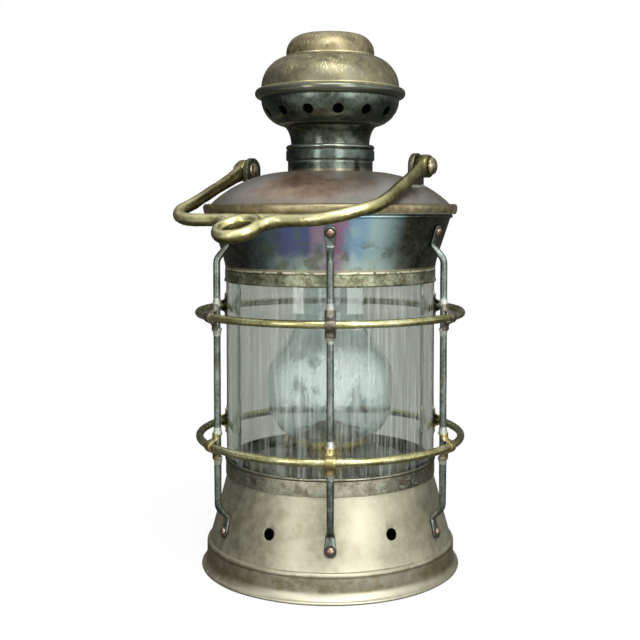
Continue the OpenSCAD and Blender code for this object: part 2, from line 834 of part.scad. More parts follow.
// A saddle clip: a strap over the outside of the ring's wire, and a half collar round the rod
// above and below it
module ring_clip() {
    inner = wire_r + seat_gap;
    outer = inner + clip_t;
    half_angle = asin(clip_r / guard_ring_r);
    rod_face = rod_circle_r + rod_r + seat_gap;
    rotate([0, 0, -half_angle])
        rotate_extrude(angle = 2 * half_angle)
            difference() {
                union() {
                    translate([guard_ring_r, 0])
                        circle(r = outer);
                    translate([rod_face, -outer])
                        square([guard_ring_r - rod_face, 2 * outer]);
                }
                translate([guard_ring_r, 0])
                    circle(r = inner);
                translate([rod_face - outer, -inner])
                    square([guard_ring_r - rod_face + outer, 2 * inner]);
                translate([0, -2 * outer])
                    square([rod_face, 4 * outer]);
            }
    for (side = [0, 1])
        mirror([0, 0, side])
            translate([rod_circle_r, 0, inner])
                rotate([0, 0, -90])
                    rotate_extrude(angle = 180)
                        translate([clip_r - clip_t, 0])
                            square([clip_t, clip_h / 2 - inner]);
}

module upper_ring_clips() {
    color(brass_brown)
        translate([0, 0, upper_ring_z])
            around(rod_count)
                ring_clip();
}

module lower_ring_clips() {
    color(brass_gold)
        translate([0, 0, lower_ring_z])
            around(rod_count)
                ring_clip();
}

// A lug on the +X side: a round-topped plate whose foot follows the roof
module bail_lug() {
    color(brass_base)
        difference() {
            translate([lug_x - lug_t / 2, 0, pivot_z])
                rotate([90, 0, 90])
                    linear_extrude(lug_t)
                        union() {
                            circle(r = lug_r);
                            translate([-lug_r, roof_z - pivot_z])
                                square([2 * lug_r, pivot_z - roof_z]);
                        }
            spun(concat([[0, roof_z - cut], [roof_r, roof_z - cut]], roof_arc, [[0, neck_z]]));
            translate([0, 0, pivot_z])
                along_x(pivot_d / 2 + pin_gap, lug_x - lug_t, 2 * lug_t);
        }
}

module bail_lug_right() {
    bail_lug();
}

module bail_lug_left() {
    mirror([1, 0, 0])
        bail_lug();
}

// The pivot rivet on the +X side: inner end against the lug, shank, domed head outside the bail
module bail_rivet() {
    color(brass_gold)
        translate([0, 0, pivot_z])
            rivet(pivot_d / 2, lug_x - lug_t / 2, pivot_d / 2 + 2 * tail_over, pivot_tail_h,
                  arm_out + move_gap, pivot_head_d / 2, pivot_head_h);
}

module bail_rivet_right() {
    bail_rivet();
}

module bail_rivet_left() {
    mirror([1, 0, 0])
        bail_rivet();
}

// One corner of the bail's bar, from its arm round to its crossbar
module bail_bend(bend) {
    rotate_extrude(angle = 90)
        translate([bend, 0])
            circle(r = bail_r);
    translate([bend, 0, 0])
        rotate([90, 0, 0])
            sleeve(bail_r);
    translate([0, bend, 0])
        rotate([0, 90, 0])
            sleeve(bail_r);
}

// The swell of an arm into its pivot eye: a cone that is flat where it would pass the eye's width
module knuckle() {
    flat = arm_half - blend_in;
    intersection() {
        rotate([90, 0, 0])
            cylinder(r1 = pivot_eye_r - blend_in, r2 = bail_r - blend_in, h = knuckle_l);
        translate([-flat, -knuckle_l - cut, -pivot_eye_r])
            cube([2 * flat, knuckle_l + 2 * cut, 2 * pivot_eye_r]);
    }
}

// The fillet on the +X side of the hanging eye, from the crossbar up to the ring
module eye_fillet() {
    ring = eye_r - eye_d / 2;
    start = [eye_fillet_l, -bail_reach];
    end = [ring * cos(eye_fillet_at), ring * sin(eye_fillet_at) - eye_reach];
    way = end - start;
    translate([start.x, start.y, 0])
        rotate([0, 0, atan2(way.y, way.x)])
            along_x(min(eye_d, bail_d) / 2 - 2 * blend_in, 0, norm(way));
}

// The bail, drawn flat with its pivots on X and its crossbar towards -Y, then tilted to its rest
module bail() {
    cross_left = bail_left_bend - arm_x;
    cross_right = arm_x - bail_right_bend;
    color(brass_gold)
        translate([0, 0, pivot_z])
            rotate([bail_tilt, 0, 0])
                difference() {
                    union() {
                        for (side = [-1, 1]) {
                            bend = side > 0 ? bail_right_bend : bail_left_bend;
                            along_x(pivot_eye_r, side * arm_x - arm_half, 2 * arm_half);
                            translate([side * arm_x, 0, 0]) {
                                rotate([90, 0, 0])
                                    cylinder(r = bail_r, h = bail_reach - bend);
                                knuckle();
                            }
                            translate([side * (arm_x - bend), bend - bail_reach, 0])
                                rotate([0, 0, side > 0 ? -90 : 180])
                                    bail_bend(bend);
                        }
                        translate([0, -bail_reach, 0])
                            along_x(bail_r, cross_left, cross_right - cross_left);
                        translate([eye_offset, 0, 0]) {
                            eye_fillet();
                            mirror([1, 0, 0])
                                eye_fillet();
                        }
                        translate([eye_offset, -eye_reach, 0])
                            rotate_extrude()
                                union() {
                                    translate([eye_r - eye_d / 2, 0])
                                        circle(r = eye_d / 2);
                                    translate([eye_hole_r - cut, -eye_wall / 2])
                                        square([eye_w - eye_d / 2 + cut, eye_wall]);
                                }
                    }
                    along_x(pivot_d / 2 + pin_gap, -2 * arm_out, 4 * arm_out);
                    translate([eye_offset, -eye_reach, -bail_d])
                        cylinder(r = eye_hole_r, h = 2 * bail_d);
                }
}

module bottom_plate() {
    wall = 1.5;
    wall_z = plate_top - plate_t / 2;
    wall_top = lug_z + bayonet_t + wall / 3;
    color(brass_base)
        union() {
            translate([0, 0, plate_z])
                cylinder(r = lug_reach_r, h = plate_t);
            tube(plate_wall_r, plate_wall_r - wall, wall_z, wall_top - wall_z);
            around(3)
                sector(lug_reach_r, plate_wall_r - wall / 2, lug_angle, lug_z, bayonet_t);
        }
}

module twist_grip() {
    color(brass_base)
        translate([0, grip_t / 2, plate_z - seat_gap])
            rotate([90, 0, 0])
                linear_extrude(grip_t)
                    intersection() {
                        translate([-grip_l / 2, -grip_h])
                            square([grip_l, grip_h]);
                        union() {
                            translate([-grip_l / 2, grip_round - grip_h])
                                square([grip_l, grip_h]);
                            translate([grip_round - grip_l / 2, -2 * grip_h])
                                square([grip_l - 2 * grip_round, 3 * grip_h]);
                            for (side = [-1, 1])
                                translate([side * (grip_l / 2 - grip_round), grip_round - grip_h])
                                    circle(r = grip_round);
                        }
                    }
}

// The filler's place on the tank
module at_filler() {
    rotate([0, 0, filler_angle])
        translate([filler_x, 0, 0])
            children();
}

module oil_tank() {
    shoulder = arc(tank_r - tank_round, tank_top - tank_round, tank_round, 0, 90);
    inner = arc(tank_r - tank_round, tank_top - tank_round, tank_round - tank_wall, 90, 0);
    mouth_r = burner_collar_r - 4 * tank_wall;
    color(brass_dark)
        difference() {
            spun(concat([[0, plate_top], [tank_r, plate_top]], shoulder,
                        [[mouth_r, tank_top], [mouth_r, tank_top - tank_wall]], inner,
                        [[tank_r - tank_wall, plate_top + tank_wall], [0, plate_top + tank_wall]]));
            at_filler()
                translate([0, 0, tank_top - 2 * tank_wall])
                    cylinder(r = filler_r - filler_wall, h = 4 * tank_wall);
        }
}

module filler_neck() {
    color(brass_gold)
        at_filler()
            tube(filler_r, filler_r - filler_wall, tank_top, filler_h);
}

module filler_cap() {
    grooves = 18;
    groove_r = 0.9;
    z = tank_top + filler_lift;
    skirt_h = filler_h - filler_lift + move_gap;
    color(brass_gold)
        at_filler()
            difference() {
                translate([0, 0, z])
                    cylinder(r = filler_cap_r, h = skirt_h + filler_wall);
                translate([0, 0, z - cut])
                    cylinder(r = filler_r + pin_gap, h = skirt_h + cut);
                around(grooves)
                    translate([filler_cap_r + groove_r / 2, 0, z - cut])
                        cylinder(r = groove_r, h = skirt_h + filler_wall + 2 * cut);
            }
}

module burner_collar() {
    collar_wall = 3;
    color(brass_gold)
        tube(burner_collar_r, burner_collar_r - collar_wall, tank_top, burner_collar_h);
}

// Room for the wick tube in the sheets that it passes
module tube_slot(z, h) {
    translate([-wick_tube_w / 2 - seat_gap, -wick_tube_t / 2 - seat_gap, z])
        cube([wick_tube_w + 2 * seat_gap, wick_tube_t + 2 * seat_gap, h]);
}

module burner_body() {
    color(brass_gold)
        difference() {
            translate([0, 0, burner_z])
                cylinder(r = burner_r, h = burner_h);
            translate([0, 0, burner_z + burner_wall])
                cylinder(r = burner_r - burner_wall, h = burner_h);
            tube_slot(burner_z - cut, burner_h);
            translate([0, spindle_y, spindle_z])
                along_x(spindle_r + pin_gap, -2 * burner_r, 4 * burner_r);
        }
}

module chimney_gallery() {
    slot_w = 3;
    air_r = 1.5;
    air_circle_r = (burner_dome_r + chimney_r - chimney_wall) / 2;
    color("#b3953f")
        difference() {
            union() {
                tube(gallery_r, burner_r - burner_wall / 2, gallery_z, burner_wall);
                tube(gallery_r, gallery_r - burner_wall, gallery_top, prong_h);
            }
            around(prong_count)
                translate([gallery_r - 2 * burner_wall, -slot_w / 2, gallery_top])
                    cube([4 * burner_wall, slot_w, prong_h + cut]);
            around(2 * prong_count)
                translate([air_circle_r, 0, gallery_z - cut])
                    cylinder(r = air_r, h = burner_wall + 2 * cut);
        }
}

module burner_dome() {
    outside = ellipse(0, gallery_top, burner_dome_r, burner_dome_h, 0, 90);
    inside = ellipse(0, gallery_top, burner_dome_r - burner_wall, burner_dome_h - burner_wall, 90, 0);
    color("#b3953f")
        difference() {
            spun(concat(outside, inside));
            tube_slot(gallery_top + burner_dome_h / 2, burner_dome_h);
        }
}

module wick_tube() {
    z = wick_tube_top - wick_tube_l;
    color(brass_gold)
        difference() {
            translate([-wick_tube_w / 2, -wick_tube_t / 2, z])
                cube([wick_tube_w, wick_tube_t, wick_tube_l]);
            translate([-wick_w / 2 - wick_gap, -wick_t / 2 - wick_gap, z - cut])
                cube([wick_w + 2 * wick_gap, wick_t + 2 * wick_gap, wick_tube_l + 2 * cut]);
            for (side = [-1, 1])
                translate([side * spur_apart / 2 - spur_t / 2 - move_gap, 0, spindle_z - spur_r])
                    cube([spur_t + 2 * move_gap, wick_tube_t, 2 * spur_r]);
        }
}

module wick() {
    color("#d8cfb8")
        translate([-wick_w / 2, -wick_t / 2, wick_tip - wick_l])
            cube([wick_w, wick_t, wick_l]);
}

// A toothed wheel along local X: V notches leave pointed teeth
module spur_wheel() {
    difference() {
        along_x(spur_r, -spur_t / 2, spur_t);
        for (i = [0:spur_teeth - 1])
            rotate([i * 360 / spur_teeth, 0, 0])
                translate([-spur_t, 0, spur_r])
                    rotate([45, 0, 0])
                        translate([0, -spur_r / 8, -spur_r / 8])
                            cube([2 * spur_t, spur_r / 4, spur_r / 4]);
    }
}

module wick_spindle() {
    color(pewter)
        translate([0, spindle_y, spindle_z])
            union() {
                along_x(spindle_r, -knob_x, knob_x + burner_r);
                for (side = [-1, 1])
                    translate([side * spur_apart / 2, 0, 0])
                        spur_wheel();
            }
}

module wick_knob() {
    scallops = 14;
    scallop_r = 1;
    color(brass_gold)
        translate([-knob_x, spindle_y, spindle_z])
            difference() {
                along_x(knob_r, -knob_t, knob_t);
                for (i = [0:scallops - 1])
                    rotate([i * 360 / scallops, 0, 0])
                        translate([0, 0, knob_r + scallop_r / 3])
                            along_x(scallop_r, -knob_t - cut, knob_t + 2 * cut);
            }
}

// Outline of the chimney's wall, drawn at the given distance inside its outer face
function chimney_wall_at(inset) =
    let (foot = gallery_top + prong_h + chimney_foot_h, wide = gallery_top + bulge_up)
    let (neck = wide + bulge_mid)
    concat([[chimney_r - inset, gallery_top]],
           [for (i = [0:steps]) let (t = 90 * i / steps)
               [chimney_r - inset + (bulge_r - chimney_r) * sin(t), wide - (wide - foot) * cos(t)]],
           [for (i = [0:steps]) let (t = 180 * i / steps)
               [chimney_tube_r - inset + (bulge_r - chimney_tube_r) * (1 + cos(t)) / 2,
                neck + chimney_shoulder * i / steps]],
           [[chimney_tube_r - inset, gallery_top + chimney_h]]);

function backwards(list) = [for (i = [len(list) - 1:-1:0]) list[i]];

module glass_chimney() {
    color(clear_glass)
        spun(concat(chimney_wall_at(0), backwards(chimney_wall_at(chimney_wall))));
}

base_skirt();
bayonet_ring();
lower_glass_ring();
lower_gasket();
glass_cylinder();
upper_gasket();
upper_glass_ring();
hood();
rim_band();
roof();
neck();
vent_bowl();
draught_plate();
cowl();
cowl_cap();
guard_rod(1);  // guard_rod_1
guard_rod(2);  // guard_rod_2
guard_rod(3);  // guard_rod_3
guard_rod(4);  // guard_rod_4
guard_rod(5);  // guard_rod_5
guard_rod(6);  // guard_rod_6
upper_rod_rivets();
lower_rod_rivets();
upper_guard_ring();
lower_guard_ring();
upper_ring_clips();
lower_ring_clips();
bail_lug_left();
bail_lug_right();
bail_rivet_left();
bail_rivet_right();
bail();
bottom_plate();
twist_grip();
oil_tank();
filler_neck();
filler_cap();
burner_collar();
burner_body();
chimney_gallery();
burner_dome();
wick_tube();
wick();
wick_spindle();
wick_knob();
glass_chimney();
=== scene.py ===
from math import atan, cos, pi, radians, sin, sqrt, tan
import bpy
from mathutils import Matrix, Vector


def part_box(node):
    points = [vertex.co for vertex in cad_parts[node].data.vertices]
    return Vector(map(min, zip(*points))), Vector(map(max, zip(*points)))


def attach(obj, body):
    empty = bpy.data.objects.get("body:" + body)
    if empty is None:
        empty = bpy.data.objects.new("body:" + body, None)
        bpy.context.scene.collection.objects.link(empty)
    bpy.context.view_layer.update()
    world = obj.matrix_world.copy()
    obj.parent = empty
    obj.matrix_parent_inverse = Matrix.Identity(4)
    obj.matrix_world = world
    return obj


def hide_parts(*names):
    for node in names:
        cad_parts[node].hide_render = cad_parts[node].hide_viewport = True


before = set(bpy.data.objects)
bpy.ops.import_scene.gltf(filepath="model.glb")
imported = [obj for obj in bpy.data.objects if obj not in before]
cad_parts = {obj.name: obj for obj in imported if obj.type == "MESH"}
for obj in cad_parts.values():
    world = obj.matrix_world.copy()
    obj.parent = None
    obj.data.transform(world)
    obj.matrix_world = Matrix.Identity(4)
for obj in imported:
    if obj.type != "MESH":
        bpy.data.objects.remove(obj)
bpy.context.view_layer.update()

# Base skirt: one sheet of brass, spun over a former into a rolled foot, an upright band and a cone.
# Its cone is punched with six air holes, and everything else stands on it.
mm = 0.001
sheet = 1.2 * mm


def arc(centre, radii, start, end, steps=8):
    """Points of a round or elliptical arc, from start to end in degrees. It has one radius or two."""
    wide, tall = radii if isinstance(radii, tuple) else (radii, radii)
    turns = [radians(start + (end - start) * i / steps) for i in range(steps + 1)]
    return [(centre[0] + wide * cos(turn), centre[1] + tall * sin(turn)) for turn in turns]


def alone(*pieces):
    """Selects these pieces and nothing else. The first is the one that is worked on."""
    bpy.ops.object.select_all(action="DESELECT")
    for piece in pieces:
        piece.select_set(True)
        bpy.context.view_layer.objects.active = pieces[0]


def started(operator, name, **settings):
    """Starts a piece from a primitive, with its place laid down in its mesh."""
    alone()
    operator(**settings)
    piece = bpy.context.object
    piece.name = name
    bpy.ops.object.transform_apply()
    return piece


def joined(piece, *others):
    """Joins other pieces to a piece, which keeps its name."""
    alone(piece, *others)
    bpy.ops.object.join()


def run_modifier(piece, kind, **settings):
    """Adds a modifier with its settings and applies it to the piece."""
    modifier = piece.modifiers.new(kind.lower(), kind)
    for name, value in settings.items():
        setattr(modifier, name, value)
    alone(piece)
    bpy.ops.object.modifier_apply(modifier=modifier.name)


def break_edges(piece, width, segments=2):
    """Rounds the sharp edges of a piece by a width."""
    run_modifier(piece, "BEVEL", width=width, segments=segments, limit_method="ANGLE",
                 angle_limit=radians(50))


def smooth(piece, angle=35):
    """Shades a piece smooth and keeps the edges that are sharper than the angle."""
    alone(piece)
    bpy.ops.object.shade_smooth_by_angle(angle=radians(angle))


def wave(piece, depth, size):
    """Gives a piece the slight waves of old handwork, by soft noise of a depth and size in millimetres."""
    clouds = bpy.data.textures.new(piece.name + "_waves", "CLOUDS")
    clouds.noise_scale = size * mm
    run_modifier(piece, "DISPLACE", texture=clouds, strength=depth * mm, mid_level=0.5,
                 texture_coords="LOCAL")


def open_up():
    """Opens the piece that is worked on for editing, with all of it selected."""
    bpy.ops.object.mode_set(mode="EDIT")
    bpy.ops.mesh.select_all(action="SELECT")


def draw_line(name, points):
    """Draws a line: one point, drawn out from place to place. The piece stays open for editing."""
    piece = started(bpy.ops.mesh.primitive_plane_add, name, size=mm)
    open_up()
    bpy.ops.mesh.merge(type="CENTER")
    bpy.ops.transform.translate(value=points[0])
    for last, point in zip(points, points[1:]):
        step = [b - a for a, b in zip(last, point)]
        bpy.ops.mesh.extrude_vertices_move(TRANSFORM_OT_translate={"value": step})
    bpy.ops.mesh.select_all(action="SELECT")
    return piece


def close_up():
    """Turns the faces of the piece that is being edited outwards, and closes it."""
    bpy.ops.mesh.select_all(action="SELECT")
    bpy.ops.mesh.normals_make_consistent(inside=False)
    bpy.ops.object.mode_set(mode="OBJECT")


def spun(name, outline, turns=160, waves=None):
    """A spun piece: its closed outline is drawn and spun about the lantern's axis. Its sheet may be wavy."""
    piece = draw_line(name, [(r, 0, z) for r, z in outline + outline[:1]])
    bpy.ops.mesh.spin(steps=turns, angle=2 * pi, center=(0, 0, 0), axis=(0, 0, 1))
    bpy.ops.mesh.select_all(action="SELECT")
    bpy.ops.mesh.remove_doubles(threshold=0.005 * mm)
    close_up()
    if waves:
        wave(piece, *waves)
        smooth(piece)
    return piece


def cut_away(piece, drill):
    """Cuts a drill's shape out of a piece."""
    run_modifier(piece, "BOOLEAN", operation="DIFFERENCE", solver="EXACT", object=drill)
    bpy.data.objects.remove(drill)


def punch(piece, hole_r, count, first, radius, height, dip):
    """Punches a row of round holes around the axis: a drill is set out in each place and cut away."""
    drills = []
    for i in range(count):
        turn = radians(first) + 2 * pi * i / count
        drills.append(started(
            bpy.ops.mesh.primitive_cylinder_add, "drill", vertices=40, radius=hole_r, depth=14 * mm,
            location=(radius * cos(turn), radius * sin(turn), height), rotation=(0, radians(90 + dip), turn)))
    joined(*drills)
    cut_away(piece, drills[0])


def rgb(code):
    """The linear colour of a hex code, as a shader takes it."""
    parts = [int(code[i:i + 2], 16) / 255 for i in (0, 2, 4)]
    return [p / 12.92 if p <= 0.04045 else ((p + 0.055) / 1.055) ** 2.4 for p in parts] + [1]


def new_finish(name):
    """Starts a finish. The nodes that follow are added to it, until the next one starts."""
    global tree
    material = bpy.data.materials.new(name)
    material.use_nodes = True
    tree = material.node_tree
    return material, tree.nodes["Principled BSDF"].inputs


def add(kind, inputs=None, **settings):
    """Adds a shader node. An input is a number, a colour or another node's output."""
    node = tree.nodes.new("ShaderNode" + kind)
    for name, value in settings.items():
        setattr(node, name, value)
    for name, value in (inputs or {}).items():
        if isinstance(value, bpy.types.NodeSocket):
            tree.links.new(value, node.inputs[name])
        else:
            node.inputs[name].default_value = value
    return node


def sums(operation, first, second):
    """One step of arithmetic between two values of a finish."""
    return add("Math", {0: first, 1: second}, operation=operation).outputs[0]


def times(first, second):
    return sums("MULTIPLY", first, second)


def plus(first, second):
    return sums("ADD", first, second)


def blend(mask, under, over):
    """One colour over another where the mask is."""
    return add("Mix", {0: mask, 6: under, 7: over}, data_type="RGBA").outputs[2]


def place(stretch=(1, 1, 1), turn=(0, 0, 0), shift=0.0):
    """Where a point lies on the piece, stretched, turned or shifted to give a pattern its grain."""
    spot = add("TexCoord").outputs["Object"]
    return add("Mapping", {"Vector": spot, "Location": (shift, 2 * shift, 3 * shift), "Rotation": turn,
                           "Scale": stretch}).outputs[0]


def reach(spot, way):
    """How far a spot lies along a direction."""
    return add("VectorMath", {0: spot, 1: way}, operation="DOT_PRODUCT").outputs["Value"]


def noise(size, detail=4, **grain):
    """Soft noise whose patches are about size millimetres across."""
    return add("TexNoise", {"Vector": place(**grain), "Scale": 1 / (size * mm), "Detail": detail,
                            "Roughness": 0.6}).outputs["Fac"]


def ranged(value, low, high, first=0.0, last=1.0, kind="LINEAR"):
    """A value that goes from first to last while another goes from low to high."""
    return add("MapRange", {"Value": value, "From Min": low, "From Max": high, "To Min": first,
                            "To Max": last}, interpolation_type=kind).outputs[0]


def between(value, low, high):
    """A mask that rises smoothly from 0 at low to 1 at high."""
    return ranged(value, low, high, kind="SMOOTHSTEP")


def patches(size, low, high, detail=4, **grain):
    """A mask of scattered patches or streaks: the part of a noise that rises over low to high."""
    return between(noise(size, detail, **grain), low, high)


def belt(low, high, soft, ragged=0.0):
    """A mask of the belt between two heights, with edges that are soft and ragged by millimetres."""
    height = reach(place(), (0, 0, 1))
    if ragged:
        height = plus(height, times(plus(noise(6, 3), -0.5), ragged * mm))
    return times(between(height, low - soft * mm, low), between(height, high + soft * mm, high))


def side(angle, spread):
    """A mask of the side that looks towards an angle about the axis, fading out at spread degrees."""
    flat = add("VectorMath", {0: place(), 1: (1, 1, 0)}, operation="MULTIPLY").outputs[0]
    unit = add("VectorMath", {0: flat}, operation="NORMALIZE").outputs[0]
    facing = reach(unit, (cos(radians(angle)), sin(radians(angle)), 0))
    return between(facing, cos(radians(spread)), 1)


def coat(mask, colour, amount=1.0, rough=None):
    """Lays a colour, and a roughness where one is given, over the finish where the mask is."""
    inputs = tree.nodes["Principled BSDF"].inputs
    mask = times(mask, amount)
    under = inputs["Base Color"].links[0].from_socket
    tree.links.new(blend(mask, under, rgb(colour)), inputs["Base Color"])
    if rough is not None:
        under = inputs["Roughness"].links[0].from_socket
        tree.links.new(add("Mix", {0: mask, 2: under, 3: rough}).outputs[0], inputs["Roughness"])


def old_metal(name, tones, rough, metallic=0.85, cloud=30, shift=0.0, relief=0.06, lines=0.3):
    """Old sheet or cast metal: three clouded tones, a fine grain, faint lathe lines and small scratches."""
    tones = tones.split()
    material, inputs = new_finish(name)
    inputs["Metallic"].default_value = metallic
    clouds = noise(cloud, 5, shift=shift)
    mottle = noise(cloud / 6, 5, shift=shift + 0.3)
    grain = noise(0.9, 2, shift=shift)
    turned = noise(0.7, 2, stretch=(0.04, 0.04, 1), shift=shift)
    scratch = sums("MAXIMUM",
                   patches(1.2, 0.68, 0.74, 2, stretch=(1, 1, 0.03), turn=(0.5, 0.9, 0.2), shift=shift),
                   patches(1.0, 0.7, 0.75, 2, stretch=(0.03, 1, 1), turn=(0.3, 0.4, 1.1), shift=shift))
    ramp = add("ValToRGB", {"Fac": plus(times(clouds, 0.6), times(mottle, 0.4))})
    ramp.color_ramp.elements.new(0.5)
    for element, colour, position in zip(ramp.color_ramp.elements, tones, (0.38, 0.5, 0.62)):
        element.position = position
        element.color = rgb(colour)
    speckled = plus(times(grain, 0.5), times(turned, lines))
    shade = ranged(speckled, 0.1, 0.6, 0.8, 1.15)
    coloured = add("Mix", {0: 1.0, 6: ramp.outputs[0], 7: shade}, data_type="RGBA", blend_type="MULTIPLY")
    tree.links.new(coloured.outputs[2], inputs["Base Color"])
    shine = ranged(plus(mottle, times(grain, 0.4)), 0.5, 0.9, *rough)
    tree.links.new(shine, inputs["Roughness"])
    height = plus(plus(speckled, times(scratch, -0.6)), times(mottle, 0.8))
    bump = add("Bump", {"Height": height, "Distance": relief * mm, "Strength": 0.6})
    tree.links.new(bump.outputs[0], inputs["Normal"])
    coat(scratch, tones[2], 0.35, rough[0])
    return material


def dress(piece, material, body, slot, *nodes):
    """Gives a finished piece its material, unless it has its own, its moving body and what it stands for."""
    if material:
        piece.data.materials.clear()
        piece.data.materials.append(material)
    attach(piece, body)
    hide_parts(*nodes)


def extent(node):
    """The heights of a round part's foot and top, and its radius."""
    low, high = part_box(node)
    return low.z, high.z, high.x


base_top, foot_r = extent("base_skirt")[1:]
band_r = foot_r - 4.3 * mm
cone_r = band_r - 2.4 * mm
cone_top_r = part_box("lower_glass_ring")[1].x - 1 * mm
seat_r = cone_top_r - 6 * mm
lip_r = 1.25 * mm
foot_z = 0.15 * mm
foot_top = 10 * mm
band_top = 19.5 * mm
cone_foot = 22.5 * mm
cone_slope = atan((cone_r - cone_top_r) / (base_top - sheet - cone_foot))
base = spun("spun_base", (
    [(band_r - sheet, foot_z)] + arc((foot_r - lip_r, foot_z + lip_r), lip_r, -90, 75, 6)
    + arc((foot_r, foot_top), (foot_r - band_r, foot_top - 2 * lip_r), 262, 180)
    + [(band_r, band_top)] + arc((cone_r, band_top), (band_r - cone_r, cone_foot - band_top), 20, 90, 6)
    + [(cone_r - (cone_r - cone_top_r) * i / 6, cone_foot + (base_top - sheet - cone_foot) * i / 6)
       for i in range(1, 7)]
    + [(cone_top_r - 0.4 * mm, base_top), (seat_r, base_top), (seat_r, base_top - sheet)]
    + [(cone_top_r - sheet, base_top - sheet), (cone_r - sheet, cone_foot - sheet),
       (band_r - sheet, band_top - sheet)]), turns=192)
wave(base, 0.5, 45)
air_height = cone_foot + 22.5 * mm
air_r = cone_r - (air_height - cone_foot) * tan(cone_slope)
punch(base, hole_r=4.5 * mm, count=6, first=30, radius=air_r, height=air_height, dip=-16.8)
break_edges(base, 0.25 * mm)
smooth(base)
front_rod = -60
khaki_brass = old_metal("khaki_brass", "94907a a8a38e b6b29c", (0.38, 0.52), cloud=38, lines=0.2)
coat(patches(20, 0.52, 0.7, 5, shift=0.5), "8f8468", 0.5)
coat(times(belt(foot_top - 2 * mm, band_top, 3, 3), patches(11, 0.46, 0.64, 5, shift=1.6)), "86744a", 0.6)
# Painted highlight: the front of the rolled foot, towards the front rod, is painted pale.
coat(times(side(front_rod, 55), belt(foot_z, foot_top - 3 * mm, 2, 2)), "cdc8b2", 0.7)
# Painted shade: the band's sides away from the front rod are painted darker.
painted_side_shade = sums("SUBTRACT", 1.0, side(front_rod, 80))
coat(times(painted_side_shade, belt(foot_top - 3 * mm, band_top, 2, 3)), "6b6040", 0.55)
coat(belt(band_top - 0.9 * mm, band_top + 0.2 * mm, 0.6, 0.6), "5d5440", 0.6)
coat(times(belt(base_top - 5 * mm, base_top, 3, 6), patches(3.2, 0.58, 0.66, 4, shift=2.4)),
     "c3cdbf", 0.7, 0.7)
coat(patches(1.7, 0.69, 0.73, 3, shift=3.3), "dcd6c2", 0.6, 0.6)
coat(patches(1.3, 0.71, 0.75, 2, shift=4.2), "5b523f", 0.6)
dress(base, khaki_brass, "lantern", "base_brass", "base_skirt")

# Bayonet ring: a flat brass ring with three notches, behind which the tank's lugs turn.
# It is cut from sheet and soldered inside the base's band.
dull_brass = old_metal("dull_brass", "5a5340 776d50 8d8160", (0.42, 0.6), shift=0.7)


def paint(material, *nodes):
    """Gives parts that show as they were built their finish."""
    for node in nodes:
        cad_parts[node].data.materials.clear()
        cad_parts[node].data.materials.append(material)


paint(dull_brass, "bayonet_ring")

# Lower glass ring: a brass channel soldered on the base, in which the foot of the glass stands.
# Lamp soot and polish have mottled it, with green corrosion along its seam; its sides are painted dark olive
# as shade.
ring_foot, ring_top, ring_r = extent("lower_glass_ring")
glass_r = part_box("glass_cylinder")[1].x
wall_r = glass_r + 0.3 * mm
lower_ring = spun("lower_glass_channel", [
    (ring_r, ring_foot), (ring_r + 0.05 * mm, ring_foot + 1 * mm), (ring_r, ring_top - 2.4 * mm),
    *arc((ring_r - 0.1 * mm, ring_top - 1.1 * mm), (0.75 * mm, 1.1 * mm), -60, 90, 6),
    (wall_r, ring_top), (wall_r, ring_foot + sheet), (seat_r, ring_foot + sheet), (seat_r, ring_foot)],
    turns=192, waves=(0.3, 30))
olive_brass = old_metal("olive_brass", "a09c88 c8c4b0 e2dfcd", (0.17, 0.3), metallic=0.95, shift=1.3)
coat(times(belt(ring_foot, ring_foot + 6 * mm, 5, 5), patches(2.6, 0.56, 0.66, 5)), "a9c2b4", 0.8, 0.8)
coat(patches(9, 0.54, 0.68, 4, shift=2.0), "5f553c", 0.5)
coat(belt(ring_top - 2.2 * mm, ring_top, 0.5, 0.8), "23211b", 0.5)
# Painted shade: the sides away from the front rod are painted dark olive.
coat(sums("SUBTRACT", 1.0, side(front_rod, 75)), "4a4736", 0.6)
dress(lower_ring, olive_brass, "lantern", "dark_brass", "lower_glass_ring")

# Gaskets: two flat rings that seat the ends of the glass in its channels.
# They are cut from cork, and oil has turned them dark.
dark_cork = old_metal("dark_cork", "1d1a16 2c2721 3d352a", (0.75, 0.9), metallic=0.0, cloud=5)
paint(dark_cork, "lower_gasket", "upper_gasket")

# Glass cylinder: a thick tube of clear glass, cut square at both ends, with the runs of dirt of
# long service. It stands loose in its channels, on its gasket.
glass_foot, glass_top = extent("glass_cylinder")[:2]
bore_r = glass_r - 3.5 * mm
edge = 0.5 * mm
lens = spun("glass_lens", [
    (bore_r + edge, glass_foot), (glass_r - edge, glass_foot), (glass_r, glass_foot + edge),
    (glass_r, glass_top - edge), (glass_r - edge, glass_top), (bore_r + edge, glass_top),
    (bore_r, glass_top - edge), (bore_r, glass_foot + edge)], turns=192)
smooth(lens)


def layer(mask, under, over):
    """One shader over another where the mask is."""
    return add("MixShader", {0: mask, 1: under.outputs[0], 2: over.outputs[0]})


